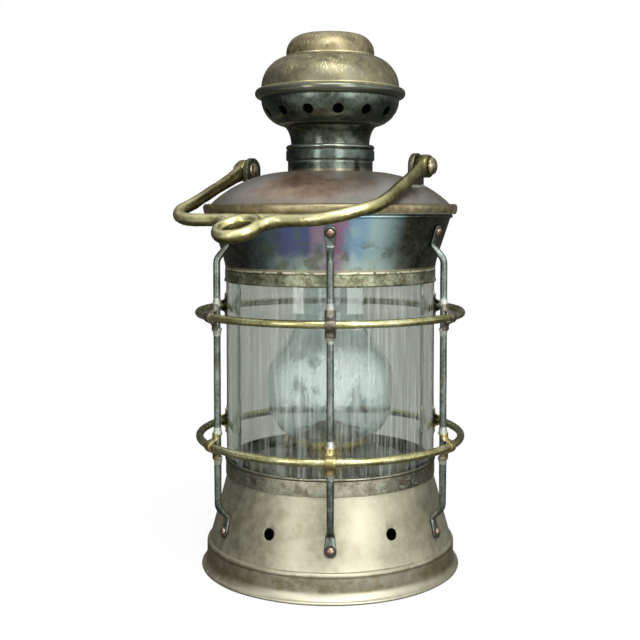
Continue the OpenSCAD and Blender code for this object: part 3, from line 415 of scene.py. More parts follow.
def lamp_glass(name, clear, film, amount, streak, glint_band=None):
    """Clear glass with a film of dirt, and a painted reflection in a given band on its front. It casts a
    faint shadow.
    """
    material, inputs = new_finish(name)
    for setting, value in (("Base Color", rgb(clear)), ("Transmission Weight", 1), ("Roughness", 0.02),
                           ("IOR", 1.45)):
        inputs[setting].default_value = value
    ripple = add("Bump", {"Height": noise(22, 2, stretch=(1, 1, 0.5)), "Distance": 0.25 * mm,
                          "Strength": 0.25})
    tree.links.new(ripple.outputs[0], inputs["Normal"])
    dust = add("BsdfPrincipled", {"Base Color": rgb(film), "Roughness": 0.6})
    runs = patches(streak, 0.45, 0.8, 5, stretch=(1, 1, 0.05))
    specks = patches(1.3, 0.72, 0.76, 2)
    haze = noise(35, 4, stretch=(1, 1, 0.4), shift=0.8)
    cover = times(plus(times(runs, haze), times(specks, 0.5)), amount)
    if glint_band:
        # Painted reflection: a pale patch on the front of the glass, between two heights.
        low, high, soft, thick = glint_band
        painted_glint = times(belt(low, high, soft, 14), side(front_rod, 66))
        painted_glint = times(painted_glint, patches(15, 0.36, 0.54, 5, stretch=(1, 1, 0.6), shift=0.3))
        cover = plus(cover, times(painted_glint, thick))
    dirty = layer(cover, tree.nodes["Principled BSDF"], dust)
    through = add("BsdfTransparent", {"Color": rgb("dfe4df")})
    lit = layer(add("LightPath").outputs["Is Shadow Ray"], dirty, through)
    tree.links.new(lit.outputs[0], tree.nodes["Material Output"].inputs["Surface"])
    return material


lens_glass = lamp_glass("lens_glass", clear="e4e8e4", film="dce1db", amount=0.64, streak=3)
dress(lens, lens_glass, "lantern", "clear_glass", "glass_cylinder")

# Upper glass ring: the channel that holds the head of the glass, soldered under the hood.
# Heat has stained it between gold and olive.
upper_foot, upper_top = extent("upper_glass_ring")[:2]
upper_ring = spun("upper_glass_channel", [
    (ring_r, upper_top), (ring_r, upper_foot + 3 * mm),
    *arc((ring_r - 0.1 * mm, upper_foot + 1.2 * mm), (0.7 * mm, 1.2 * mm), 60, -90, 6),
    (wall_r, upper_foot), (wall_r, upper_top - sheet), (seat_r, upper_top - sheet),
    (seat_r, upper_top)], turns=192, waves=(0.3, 26))
stained_brass = old_metal("stained_brass", "4f4e38 7d7f68 a4a892", (0.34, 0.52), cloud=14, shift=2.1)
coat(patches(8, 0.55, 0.68, 5, shift=0.4), "3a3528", 0.7)
coat(patches(2, 0.62, 0.7, 4, shift=0.9), "c3b98f", 0.6)
coat(belt(upper_top - 2.2 * mm, upper_top - 1.2 * mm, 0.5, 1.2), "2b281d", 0.5)
coat(times(belt(upper_top - 1 * mm, upper_top, 0.5, 1.4), patches(5, 0.38, 0.5, 3, shift=1.5)),
     "d8d2b6", 0.85, 0.5)
dress(upper_ring, stained_brass, "lantern", "gold_brass", "upper_glass_ring")

# Hood: a brass cone spun to flare over the glass, with a rolled lip under the eave.
# The lamp's heat has blackened it and left blue, purple and green tints by the foremost rod.
hood_foot, hood_top, hood_lip_r = extent("hood")
hood_top_r = hood_lip_r - 2 * mm
hood_foot_r = ring_r - 0.4 * mm
flare_foot = hood_foot + 13.5 * mm
flare_top = hood_top - 3 * mm
flare_r = hood_foot_r + 0.286 * (hood_top_r - hood_foot_r)
hood_slope = atan((hood_top_r - flare_r) / (flare_top - flare_foot))
bend_r = flare_r - (flare_foot - hood_foot) / 2 * tan(hood_slope)
hood_curve = [((1 - t) ** 2 * hood_foot_r + 2 * t * (1 - t) * bend_r + t * t * flare_r,
               hood_foot + t * (flare_foot - hood_foot)) for t in (i / 8 for i in range(9))]
hood = spun("spun_hood", hood_curve + [
    ((flare_r + hood_top_r) / 2, (flare_foot + flare_top) / 2), (hood_top_r, flare_top),
    *arc((hood_lip_r - 1.5 * mm, flare_top + 1.5 * mm), 1.5 * mm, -90, 90),
    (hood_top_r - sheet, hood_top), (hood_top_r - sheet, flare_top), (flare_r - sheet, flare_foot),
    (hood_foot_r - sheet, hood_foot + sheet), (seat_r, hood_foot + sheet), (seat_r, hood_foot)],
    turns=192, waves=(0.5, 35))
heat_black = old_metal("heat_black", "2d302a 43463d 5c5e50", (0.24, 0.42), metallic=0.92, cloud=22, shift=3.2)
upper_hood = belt(flare_foot, flare_top + 4 * mm, 9, 8)
for turn, spread, size, colour, amount, where in (
        (-20, 30, 30, "5b7077", 0.9, None), (14, 24, 26, "b2d0d3", 0.95, None),
        (-13, 16, 8, "5a5c94", 0.75, upper_hood), (11, 9, 9, "74a2c8", 0.65, upper_hood),
        (4.2, 5.5, 7, "a06c8e", 0.85, None), (-5.6, 5, 7, "a98a98", 0.65, None)):
    tint = times(side(front_rod + turn, spread),
                 patches(size, 0.28, 0.56, 5, stretch=(1, 1, 0.5), shift=turn / 9))
    coat(times(tint, where) if where else tint, colour, amount)
pale_foot = times(side(front_rod + 5, 44), belt(hood_foot, hood_foot + 9 * mm, 7, 9))
coat(times(pale_foot, patches(11, 0.3, 0.66, 5, stretch=(1, 1, 0.6), shift=0.6)), "aebdb0", 0.8)
coat(times(belt(hood_foot + 4 * mm, hood_foot + 16 * mm, 10, 8), patches(12, 0.5, 0.62, 4, shift=1.7)),
     "5f6a4c", 0.6)
coat(patches(1.6, 0.7, 0.74, 3, shift=0.2), "9b9683", 0.7, 0.6)
coat(belt(hood_foot, hood_foot + 1.2 * mm, 0.7, 1.6), "b9ae8b", 0.6, 0.5)
dress(hood, heat_black, "lantern", "dark_brass", "hood")

# Rim band: a hoop round the eave that joins the hood to the roof.
# It is a strip of brass, turned in at both edges and soldered.
rim_foot, rim_top, rim_r = extent("rim_band")
rim_round = 2.4 * mm
roof_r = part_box("roof")[1].x
rim_in_r = hood_top_r - 2 * sheet
rim = spun("rim_hoop", [
    (rim_in_r, rim_foot), (rim_r - 1.8 * mm, rim_foot), (rim_r - 1 * mm, rim_foot + 0.5 * mm),
    (rim_r - 0.4 * mm, rim_foot + 2 * mm), (rim_r - 0.1 * mm, rim_foot + 4 * mm),
    *arc((rim_r - rim_round, rim_top - rim_round), rim_round, 0, 90),
    (roof_r - 3 * sheet, rim_top), (roof_r - 3 * sheet, rim_top - sheet),
    (rim_r - rim_round, rim_top - sheet), (rim_r - sheet - 0.3 * mm, rim_top - rim_round),
    (rim_r - sheet - 1 * mm, rim_foot + 2.8 * mm), (rim_r - 3.6 * mm, rim_foot + sheet),
    (rim_in_r, rim_foot + sheet)], turns=192, waves=(0.35, 40))
tan_brass = old_metal("tan_brass", "6c6149 8f8263 b0a586", (0.3, 0.48), shift=4.4)
coat(belt(rim_foot, rim_foot + 0.7 * mm, 0.4, 0.5), "cfd3cc", 0.7, 0.3)
coat(belt(rim_top - 1.4 * mm, rim_top, 0.8, 0.8), "5f5740", 0.5)
coat(patches(9, 0.58, 0.7, 4, shift=1.1), "665d45", 0.5)
dress(rim, tan_brass, "lantern", "gold_brass", "rim_band")

# Roof: a shallow dome of brass sheet, spun, and soldered to the rim.
# It has worn to a coppery brown, and grey sheens are painted on two of its sides as reflections.
roof_foot, roof_top = extent("roof")[:2]
neck_r = 33.8 * mm
roof_top_r = neck_r + 0.2 * mm
edge_slope = 44
roof_turn = 2 * (edge_slope - atan((roof_top - roof_foot) / (roof_r - roof_top_r)) * 180 / pi)
roof_chord = sqrt((roof_r - roof_top_r) ** 2 + (roof_top - roof_foot) ** 2)
roof_arc_r = roof_chord / (2 * sin(radians(roof_turn / 2)))
roof_middle = (roof_r - roof_arc_r * sin(radians(edge_slope)),
               roof_foot - roof_arc_r * cos(radians(edge_slope)))
roof_start = 90 - edge_slope
roof_end = roof_start + roof_turn
roof_inside = [point for point in arc(roof_middle, roof_arc_r - sheet, roof_end, roof_start, 14)
               if point[1] > roof_foot]
hole_r = neck_r - 3 * mm
roof = spun("domed_roof", arc(roof_middle, roof_arc_r, roof_start, roof_end, 18)
            + [(hole_r, roof_top), (hole_r, roof_top - sheet)] + roof_inside, turns=192, waves=(0.6, 40))
copper_brown = old_metal("copper_brown", "7a6555 8c7564 9e8977", (0.32, 0.48), cloud=45, shift=5.3)
coat(patches(26, 0.5, 0.68, 5, shift=2.2), "7a624e", 0.5)
coat(patches(30, 0.5, 0.7, 5, shift=3.7), "979994", 0.6)
# Painted reflections: grey sheens on two sides, either side of the front rod.
coat(times(side(front_rod + 38, 42), patches(24, 0.3, 0.55, 4, shift=0.9)), "9a9d9a", 0.6, 0.3)
coat(times(side(front_rod - 62, 30), patches(24, 0.3, 0.55, 4, shift=1.9)), "a3a5a2", 0.65, 0.3)
coat(belt(roof_foot, roof_foot + 2.5 * mm, 4, 4), "7f8178", 0.55)
coat(belt(roof_top - 2 * mm, roof_top + 1 * mm, 2, 2), "9a8f7f", 0.5)
dress(roof, copper_brown, "lantern", "brown_brass", "roof")

# Neck: a brass tube spun with a stepped collar and a bead, soldered into the roof's top.
# Smoke has turned it to a gunmetal black, and pale bands are painted on its bead, collar and step as
# highlights.
neck_foot, neck_top, neck_top_r = extent("neck")
step_top = neck_foot + 8.2 * mm
collar_top = step_top + 8.8 * mm
collar_r = neck_r + 1.4 * mm
throat_r = neck_r - 0.6 * mm
waist_r = neck_r - 2.6 * mm
bead = 2 * mm
step_round = 1.4 * mm
collar_round = 1.2 * mm
flare_z = collar_top + 2 * bead
neck_out = neck_top_r - waist_r
neck_rise = neck_top - flare_z
neck = spun("spun_neck", [
    (neck_r, neck_foot), (neck_r, step_top - 1.6 * mm),
    *arc((collar_r, step_top - 0.2 * mm), step_round, 180, 110, 4),
    *arc((collar_r - collar_round, step_top + 1.6 * mm), collar_round, -60, 0, 4),
    *arc((collar_r - collar_round, collar_top - collar_round), collar_round, 0, 70, 4),
    *arc((throat_r, collar_top + bead), bead, -45, 80, 10),
    *arc((neck_top_r, flare_z), (neck_out, neck_rise), 180, 90, 10),
    *arc((neck_top_r, flare_z), (neck_out + sheet, neck_rise + sheet), 120, 180, 8),
    (throat_r - sheet, neck_foot)], waves=(0.25, 25))
gunmetal = old_metal("gunmetal", "2a2e27 444a42 636a61", (0.15, 0.3), metallic=0.95, cloud=26, shift=6.1)
coat(patches(14, 0.55, 0.68, 4, shift=0.6), "3c4a46", 0.6)
coat(belt(neck_foot, neck_foot + 1 * mm, 1.5, 1.5), "8a7c66", 0.6)
# Painted highlights: pale bands on the bead, the middle of the collar and the top of the step.
coat(belt(collar_top + 2 * mm, flare_z, 0.7, 0.8), "8d9388", 0.6)
coat(belt(step_top + 3 * mm, collar_top - 2 * mm, 1.8, 0.8), "55605b", 0.5)
coat(belt(step_top - 1.2 * mm, step_top, 0.6, 0.8), "7b8177", 0.5)
coat(patches(1.5, 0.7, 0.74, 3, shift=1.9), "77715c", 0.5, 0.5)
dress(neck, gunmetal, "lantern", "dark_brass", "neck")

# Vent bowl: a brass bowl spun to a round shoulder and soldered on the neck.
# The smoke leaves by its row of drilled holes.
bowl_foot, bowl_top, bowl_r = extent("vent_bowl")
bowl_h = bowl_top - bowl_foot
bowl_arc_r = ((bowl_r - neck_top_r) ** 2 + bowl_h ** 2) / (2 * (bowl_r - neck_top_r))
bowl_middle = (bowl_r - bowl_arc_r, bowl_top)
foot_angle = -atan(bowl_h / sqrt(bowl_arc_r ** 2 - bowl_h ** 2)) * 180 / pi
bowl_in = bowl_arc_r - sheet
bowl_foot_r = neck_top_r - 2 * sheet
bowl = spun("vent_bowl_shell",
            arc(bowl_middle, bowl_arc_r, foot_angle, 0, 20)
            + arc(bowl_middle, bowl_in, 0, foot_angle, 20)
            + [(bowl_foot_r, bowl_top - bowl_in * sin(radians(-foot_angle))), (bowl_foot_r, bowl_foot)],
            turns=224)
vent_dip = 33
vent_r = bowl_middle[0] + bowl_arc_r * cos(radians(vent_dip))
vent_z = bowl_middle[1] - bowl_arc_r * sin(radians(vent_dip))
punch(bowl, hole_r=4.2 * mm, count=14, first=-2, radius=vent_r, height=vent_z, dip=vent_dip)
break_edges(bowl, 0.3 * mm)
smooth(bowl)
smoked_brass = old_metal("smoked_brass", "3a403a 535b52 6c756a", (0.2, 0.34), metallic=0.95, cloud=20,
                         shift=7.4)
coat(patches(14, 0.5, 0.68, 4, shift=1.2), "56675f", 0.5)
coat(belt(bowl_foot, bowl_foot + 0.8 * mm, 0.5, 0.8), "b3b49c", 0.75, 0.3)
coat(patches(1.5, 0.7, 0.74, 3, shift=0.5), "8b866c", 0.6, 0.5)
dress(bowl, smoked_brass, "lantern", "dark_brass", "vent_bowl")

# Draught plate: a disc on three strips inside the bowl, which keeps wind off the flame.
# It is cut from brass sheet, and soot has blackened it.
soot = old_metal("soot", "12110f 1d1b18 2b2824", (0.7, 0.9), metallic=0.3, shift=0.9)
paint(soot, "draught_plate")

# Cowl: a brass dome with a fat rolled bead at its edge, which sheds rain past the vent holes.
# The dome is dull brown gold, rubbed in fans by many polishings, and greyer low down.
cowl_foot, cowl_top, cowl_r = extent("cowl")
bead_h = 8 * mm
bead_r = bead_h / 2
bead_x = cowl_r - bead_r
dome_foot = cowl_foot + bead_h
cap_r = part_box("cowl_cap")[1].x
dome_end = 80
dome_a = (bowl_r - cap_r) / (1 - cos(radians(dome_end)))
dome_b = (cowl_top - dome_foot) / sin(radians(dome_end))
dome_x = bowl_r - dome_a
cowl = spun("rain_cowl", [
    (bowl_r - sheet, cowl_foot), (bowl_r, cowl_foot),
    *arc((bead_x, cowl_foot + bead_r), bead_r, -75, 78, 18),
    *arc((dome_x, dome_foot), (dome_a, dome_b), 0, dome_end, 20),
    (cap_r - 3 * sheet, cowl_top), (cap_r - 3 * sheet, cowl_top - sheet),
    *arc((dome_x, dome_foot), (dome_a - sheet, dome_b - sheet), dome_end, 0, 12)], turns=176, waves=(0.4, 30))
rubbed_brass = old_metal("rubbed_brass", "605b46 7e785c 99937a", (0.34, 0.5), cloud=34, shift=8.2)
fans = times(patches(1.3, 0.57, 0.62, 3, stretch=(1, 1, 0.05), turn=(0.25, 0.35, 0)),
             patches(22, 0.45, 0.6, 3, shift=2.9))
coat(fans, "cdc59c", 0.75, 0.34)
low_grey = belt(dome_foot - 1 * mm, dome_foot + 9 * mm, 8, 8)
coat(times(low_grey, patches(16, 0.35, 0.6)), "6e6c5c", 0.6)
coat(belt(cowl_foot - 1 * mm, dome_foot - 2.2 * mm, 1.2, 1.5), "5a5e53", 0.92, 0.18)
coat(times(belt(dome_foot - 4 * mm, dome_foot - 2 * mm, 2, 2), patches(18, 0.55, 0.7, 3, shift=5.0)),
     "7c7250", 0.5, 0.3)
# A pale line where the bead meets the dome: partly a worn seam edge, partly a painted highlight.
coat(belt(dome_foot - 0.3 * mm, dome_foot + 0.5 * mm, 0.4, 0.8), "c9bd92", 0.7, 0.3)
coat(patches(3, 0.66, 0.73, 4, shift=4.1), "3f3829", 0.55)
dress(cowl, rubbed_brass, "lantern", "gold_brass", "cowl")

# Cap: a lid over the cowl's mouth, round at its corner and nearly flat on top.
# It is pressed from brass sheet and soldered on.
cap_foot, cap_top = extent("cowl_cap")[:2]
cap_corner = 14.5 * mm
corner_x = cap_r - cap_corner
corner_z = cap_foot + 3 * mm
cap_outline = ([(cap_r - sheet, cap_foot), (cap_r, cap_foot)]
               + arc((corner_x, corner_z), cap_corner, 0, 84, 14))
crown_r = cap_outline[-1][0]
for share in (0.66, 0.33, 0):
    cap_outline.append((crown_r * share, cap_top - (cap_top - cap_outline[15][1]) * share ** 2))
cap_outline.append((0, cap_top - sheet))
cap_outline += arc((corner_x, corner_z), cap_corner - sheet, 84, 0, 10)
cap = spun("cowl_lid", cap_outline, turns=144, waves=(0.4, 24))
lid_brass = old_metal("lid_brass", "6a614a 887d60 a4987a", (0.36, 0.54), cloud=26, shift=9.1)
coat(times(patches(1.2, 0.57, 0.62, 3, stretch=(1, 1, 0.06), turn=(0.5, 0.3, 0)),
           patches(18, 0.45, 0.6, 3, shift=3.9)), "d0c79d", 0.75, 0.34)
coat(belt(cap_foot, cap_foot + 0.7 * mm, 0.4, 0.7), "d0c49b", 0.7, 0.3)
dress(cap, lid_brass, "lantern", "gold_brass", "cowl_cap")

# Guard rods: six lengths of hard brass wire that keep knocks off the glass. Each end is bent in,
# hammered flat while hot and riveted to the hood or the base, and handling has worn them pewter grey.
rod_r = 2.75 * mm
rod_d = 5.5 * mm
rod_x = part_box("guard_rod_1")[1].x - rod_r
tab_width = 9 * mm
tab_thick = 2.2 * mm
tab_back = 11 * mm
joggle = 40
bend = 8 * mm
seat_gap = 0.05 * mm
rivet_drop = 9.5 * mm
rivet_rise = 14.5 * mm
upper_z = flare_top - rivet_drop
upper_r = hood_top_r - rivet_drop * tan(hood_slope)
lower_z = cone_foot + rivet_rise
lower_r = cone_r - rivet_rise * tan(cone_slope)


def rod_end_path(seat_r, seat_z, slope, up):
    """Stations of one rod end: place, lean in degrees, width and thickness, from the rod to the tip."""
    lift = tab_thick / 2 + seat_gap
    along = (sin(slope), cos(slope))
    tab = (seat_r + lift * cos(slope), seat_z - lift * sin(slope))
    start = (tab[0] - tab_back * along[0], tab[1] - tab_back * along[1])
    leg = (rod_x - start[0]) / sin(radians(joggle))
    corner = start[1] - leg * cos(radians(joggle))
    tangent = bend * tan(radians(joggle / 2))
    curve = arc((rod_x - bend, corner - tangent), bend, 0, joggle, 6)
    stations = [(x, z, -joggle * i / 6, rod_d, rod_d) for i, (x, z) in enumerate(curve)]
    lean = slope * 180 / pi
    shares = ((0.35, 0.1, -joggle), (0.62, 0.3, -joggle), (0.85, 0.55, -joggle * 0.8),
              (1.0, 0.75, -joggle * 0.35))
    for share, flat, angle in shares:
        leg_at = tangent + (leg - tangent) * share
        stations.append((rod_x - leg_at * sin(radians(joggle)), corner + leg_at * cos(radians(joggle)), angle,
                         rod_d + (tab_width * 0.8 - rod_d) * flat, rod_d + (tab_thick - rod_d) * flat))
    profile = ((2.5, 0.84, 1.25), (5, 0.88, 1.0), (8, 0.96, 1.0), (11, 1.05, 1.0), (13.5, 0.98, 1.0),
               (15, 0.8, 0.96), (15.8, 0.5, 0.85))
    for far, wide, thick in profile:
        stations.append((start[0] + far * mm * along[0], start[1] + far * mm * along[1], lean,
                         tab_width * wide, tab_thick * thick))
    return [(x, z if up else -z, angle if up else 180 - angle, width, thick)
            for x, z, angle, width, thick in stations]


def forged_bar(name, stations, sides=20):
    """A bar drawn out of a disc: each station moves, turns and hammers the end face to its section."""
    x, z, lean, width, thick = stations[0]
    piece = started(bpy.ops.mesh.primitive_circle_add, name, vertices=sides, radius=0.5, fill_type="NGON",
                    location=(x, 0, z))
    open_up()
    bpy.ops.transform.resize(value=(thick, width, 1), center_override=(x, 0, z))
    bpy.ops.transform.rotate(value=-radians(lean), orient_axis="Y", center_override=(x, 0, z))
    for last, station in zip(stations, stations[1:]):
        x, z, lean, width, thick = station
        centre = (x, 0, z)
        bpy.ops.mesh.extrude_region_move(TRANSFORM_OT_translate={"value": (x - last[0], 0, z - last[1])})
        bpy.ops.transform.rotate(value=radians(last[2]), orient_axis="Y", center_override=centre)
        bpy.ops.transform.resize(value=(thick / last[4], width / last[3], 1), center_override=centre)
        bpy.ops.transform.rotate(value=-radians(lean), orient_axis="Y", center_override=centre)
    close_up()
    return piece


def set_down(piece, turn, spot=(0, 0, 0)):
    """Turns a finished piece and sets it in its place."""
    alone(piece)
    piece.rotation_euler = turn
    piece.location = spot
    bpy.ops.object.transform_apply()


def six_around(piece):
    """Copies a finished piece to the other five rods, each copy with its own mesh, and returns all six."""
    pieces = [piece]
    for i in range(1, 6):
        alone(piece)
        bpy.ops.object.duplicate(linked=False)
        copy = bpy.context.object
        copy.name = piece.name[:-1] + str(i + 1)
        set_down(copy, (0, 0, radians(60 * i)))
        pieces.append(copy)
    return pieces


upper_end = rod_end_path(upper_r, upper_z, hood_slope, True)
lower_end = rod_end_path(lower_r, -lower_z, cone_slope, False)
straight = [(rod_x, lower_end[0][1] + (upper_end[0][1] - lower_end[0][1]) * i / 30, 0, rod_d, rod_d)
            for i in range(1, 30)]
lower_run = [(x, z, angle - 180, width, thick) for x, z, angle, width, thick in reversed(lower_end)]
rod = forged_bar("guard_wire_1", lower_run + straight + upper_end)
wave(rod, 0.35, 18)
run_modifier(rod, "SUBSURF", levels=1, render_levels=1)
smooth(rod, 60)
pewter = old_metal("pewter", "4a504a 6c746e 8f9892", (0.28, 0.44), metallic=0.9, cloud=14, shift=10.3)
coat(patches(9, 0.56, 0.7, 4, stretch=(1, 1, 0.5), shift=1.4), "5f5a45", 0.7)
coat(patches(2.4, 0.66, 0.72, 4, stretch=(1, 1, 0.4), shift=2.3), "b9bcb0", 0.6, 0.3)
for i, wire in enumerate(six_around(rod), 1):
    dress(wire, pewter, "lantern", "pewter_brass", "guard_rod_%d" % i)

# Rod rivets: twelve copper rivets, closed hot through the rods' flat ends and the sheet.
# Dirt is caught round their heads.
head_r = 3.3 * mm
head_h = 2.1 * mm
shank_r = 1.8 * mm
tail_r = 2.8 * mm
tail_back = -2.5 * mm
tail_front = -1.5 * mm
burr = 0.7 * mm


def rod_rivet(name, seat, lean):
    """A domed rivet whose shank passes the sheet, set at a seat with its axis leaning by an angle."""
    out = seat_gap + tab_thick
    piece = spun(name, [
        (0, tail_back), (tail_r, tail_back), (tail_r, tail_front), (shank_r, tail_front),
        (shank_r, out - 0.2 * mm), (head_r, out - 0.2 * mm),
        *arc((0, out), (head_r, head_h), 0, 90, 8)], turns=32)
    dirt = started(bpy.ops.mesh.primitive_torus_add, "dirt", major_segments=32, minor_segments=8,
                   major_radius=head_r + burr / 3, minor_radius=burr, location=(0, 0, out - burr / 2))
    wave(dirt, 0.5, 2)
    piece.data.materials.append(rivet_copper)
    dirt.data.materials.append(seam_dirt)
    joined(piece, dirt)
    set_down(piece, (0, lean, 0), (seat[0], 0, seat[1]))
    smooth(piece, 50)
    return piece


rivet_copper = old_metal("rivet_copper", "6f5a4b 92796a b8a293", (0.24, 0.38), metallic=0.9, cloud=5,
                         shift=11.2)
seam_dirt = old_metal("seam_dirt", "1d1913 2e281e 463d2c", (0.6, 0.85), metallic=0.1, cloud=3)
for row, seat, lean in (("upper", (upper_r, upper_z), pi / 2 + hood_slope),
                        ("lower", (lower_r, lower_z), pi / 2 - cone_slope)):
    for rivet in six_around(rod_rivet(row + "_rivet_1", seat, lean)):
        dress(rivet, None, "lantern", "copper", row + "_rod_rivets")

# Guard rings: two hoops of round brass wire that lie outside the rods.
# Each is drawn round and brazed at its ends.
wire_r = 3 * mm
ring_x = rod_x + rod_r + seat_gap + wire_r
ring_z = {row: sum(corner.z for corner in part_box(row + "_guard_ring")) / 2 for row in ("upper", "lower")}
wire_brass = old_metal("wire_brass", "96925f bdb884 dedab2", (0.2, 0.3), metallic=0.95, cloud=18,
                       shift=12.4, lines=0.1)
coat(patches(30, 0.5, 0.66, 3, shift=0.7), "857d58", 0.45)
coat(patches(3, 0.66, 0.73, 4, shift=1.8), "5a5034", 0.3)
for row, height in ring_z.items():
    hoop = spun(row + "_hoop", arc((ring_x, height), wire_r, 0, 345, 23), turns=200)
    wave(hoop, 0.45, 28)
    smooth(hoop, 60)
    dress(hoop, wire_brass, "lantern", "gold_brass", row + "_guard_ring")

# Ring clips: a strap of thin brass laid over the ring at each rod, bent back round the rod above and
# below, and run in with solder that has left silvery ends.
clip_t = 1.2 * mm
clip_half = 10 * mm
clip_wide = 4.3 * mm
clip_deep = 4.1 * mm
clip_front = rod_x + rod_r + 2 * seat_gap + clip_t
saddle_r = wire_r + 2 * seat_gap + clip_t


def ring_clip(name, height, metal):
    """One saddle clip: the line of its bent top edge is drawn down over the ring, then given its wall."""
    rows = [(clip_front, clip_half, 1), (clip_front + 0.1 * mm, 8.5 * mm, 1), (clip_front, 6.6 * mm, 0.95),
            (clip_front + 0.7 * mm, 5.2 * mm, 0.7)]
    rows += [(x, z, 0.22) for x, z in arc((ring_x, 0), saddle_r, 72, 0, 5)]
    rows += [(x, -z, flat) for x, z, flat in reversed(rows[:-1])]
    top_edge = arc((clip_front - clip_deep, 0), (clip_deep, clip_wide), -78, 78, 10)
    piece = draw_line(name, [(x, y, height + clip_half) for x, y in top_edge])
    for last, row in zip(rows, rows[1:]):
        step = (row[0] - last[0], 0, row[1] - last[1])
        bpy.ops.mesh.extrude_edges_move(TRANSFORM_OT_translate={"value": step})
        bpy.ops.transform.resize(value=(row[2] / last[2], 1, 1), center_override=(row[0], 0, height + row[1]))
    close_up()
    if piece.data.polygons[0].normal.x < 0:
        open_up()
        bpy.ops.mesh.flip_normals()
        bpy.ops.object.mode_set(mode="OBJECT")
    run_modifier(piece, "SOLIDIFY", thickness=clip_t, offset=-1)
    break_edges(piece, 0.3 * mm)
    wave(piece, 0.4, 6)
    piece.data.materials.append(metal)
    for sign in (-1, 1):
        solder = forged_bar(name + "_solder", [
            (rod_x, height + sign * (clip_half + far * mm), 0, rod_d + more * mm, rod_d + more * mm)
            for far, more in ((-1.5, 1.4), (-0.4, 1.9), (0.5, 1.5), (1.8, 0.7), (3.2, 0.4), (4.4, 0.05))], 16)
        wave(solder, 1.1, 2.5)
        solder.data.materials.append(clip_solder)
        joined(piece, solder)
    smooth(piece, 50)
    return piece


clip_solder = old_metal("clip_solder", "84867d a6a89e cbccc2", (0.35, 0.6), metallic=0.7, cloud=3, shift=13.3)
clip_brown = old_metal("clip_brown", "514c43 6f695d 8d887b", (0.26, 0.42), cloud=8, shift=14.1)
clip_gold = old_metal("clip_gold", "7f744c a89c6a c8be92", (0.24, 0.4), metallic=0.92, cloud=8, shift=15.6)
for row, metal, slot in (("upper", clip_brown, "brown_brass"), ("lower", clip_gold, "gold_brass")):
    for clip in six_around(ring_clip(row + "_clip_1", ring_z[row], metal)):
        dress(clip, None, "lantern", slot, row + "_ring_clips")

# Bail lugs: two upright brass plates with round tops that carry the bail's pivots. They were sawn from
# thick sheet, filed, and soldered to the roof with more solder than they needed.
lug_low, lug_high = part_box("bail_lug_right")
pin_low, pin_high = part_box("bail_rivet_right")
pivot_z = (pin_low.z + pin_high.z) / 2
half_round = (0, 0, pi)


def roof_at(radius):
    """The height of the roof's face at a radius."""
    return roof_middle[1] + sqrt(roof_arc_r ** 2 - (radius - roof_middle[0]) ** 2)


def disc_across(name, radius, thick, x, z=0):
    """A round disc or pin whose axis runs across the lantern."""
    return started(bpy.ops.mesh.primitive_cylinder_add, name, vertices=48, radius=radius, depth=thick,
                   location=(x, 0, z), rotation=(0, pi / 2, 0))


def bail_lug(name, seed):
    """A lug on the +X side: a disc whose lower half is drawn down to the roof, with solder at its foot."""
    piece = disc_across(name, lug_high.y, lug_high.x - lug_low.x, (lug_low.x + lug_high.x) / 2, pivot_z)
    open_up()
    bpy.ops.mesh.bisect(plane_co=(0, 0, pivot_z), plane_no=(0, 0, 1), clear_inner=True, use_fill=True)
    foot = roof_at(lug_high.x) - 0.6 * mm
    bpy.ops.mesh.extrude_region_move(TRANSFORM_OT_translate={"value": (0, 0, foot - pivot_z)})
    close_up()
    break_edges(piece, 0.7 * mm, 3)
    wave(piece, 0.4, 9)
    piece.data.materials.append(lug_metal)
    for face, more in ((lug_low.x - 0.2 * mm, 0.8), (lug_high.x + 0.2 * mm, 1.0)):
        run = forged_bar(name + "_run", [
            (along * mm, 0, 90, wide * more * mm, wide * more * mm)
            for along, wide in ((-11.4, 0.6), (-10.6, 2.2), (-8, 3.4), (-4, 2.7), (-1, 3.5), (3, 2.6),
                                (7, 3.8), (10.2, 2.4), (11.2, 0.7))], 12)
        set_down(run, (0, 0, pi / 2), (face, 0, roof_at(face) + 0.1 * mm))
        run_modifier(run, "SUBSURF", levels=2, render_levels=2)
        wave(run, 1.2, seed)
        run.data.materials.append(clip_solder)
        joined(piece, run)
    smooth(piece, 45)
    return piece


lug_metal = old_metal("lug_metal", "2f3029 48483c 6f6c57", (0.32, 0.5), cloud=9, shift=16.2)
coat(patches(3, 0.6, 0.7, 4, shift=0.6), "8b8a78", 0.6, 0.35)
for hand, seed in (("left", 3.1), ("right", 2.6)):
    lug = bail_lug("roof_lug_" + hand, seed)
    if hand == "left":
        set_down(lug, half_round)
    dress(lug, None, "lantern", "base_brass", "bail_lug_" + hand)

# Pivot rivets: a thick brass pin through each lug and knuckle, with a full button head outside and its
# tail spread over inside.
pin_r = 4 * mm
pin_head = 4 * mm
pin_tail = lug_low.x - pin_low.x
pin_brass = old_metal("pin_brass", "6a624c 948a6f b9b096", (0.2, 0.34), metallic=0.92, cloud=6, shift=17.4)
coat(patches(1.4, 0.66, 0.72, 3), "4a4434", 0.6, 0.5)
for hand in ("left", "right"):
    pin = spun("pivot_pin_" + hand, [
        *arc((0, lug_low.x), (5.6 * mm, pin_tail), -90, 0, 8), (pin_r, lug_low.x),
        (pin_r, pin_high.x - pin_head), (6.3 * mm, pin_high.x - pin_head),
        *arc((0, pin_high.x - 0.8 * pin_head), (6.5 * mm, 0.8 * pin_head), 0, 90, 10)], turns=48)
    set_down(pin, (0, pi / 2, 0), (0, 0, pivot_z))
    if hand == "left":
        set_down(pin, half_round)
    wave(pin, 0.3, 5)
    smooth(pin, 50)
    dress(pin, pin_brass, "lantern", "gold_brass", "bail_rivet_" + hand)
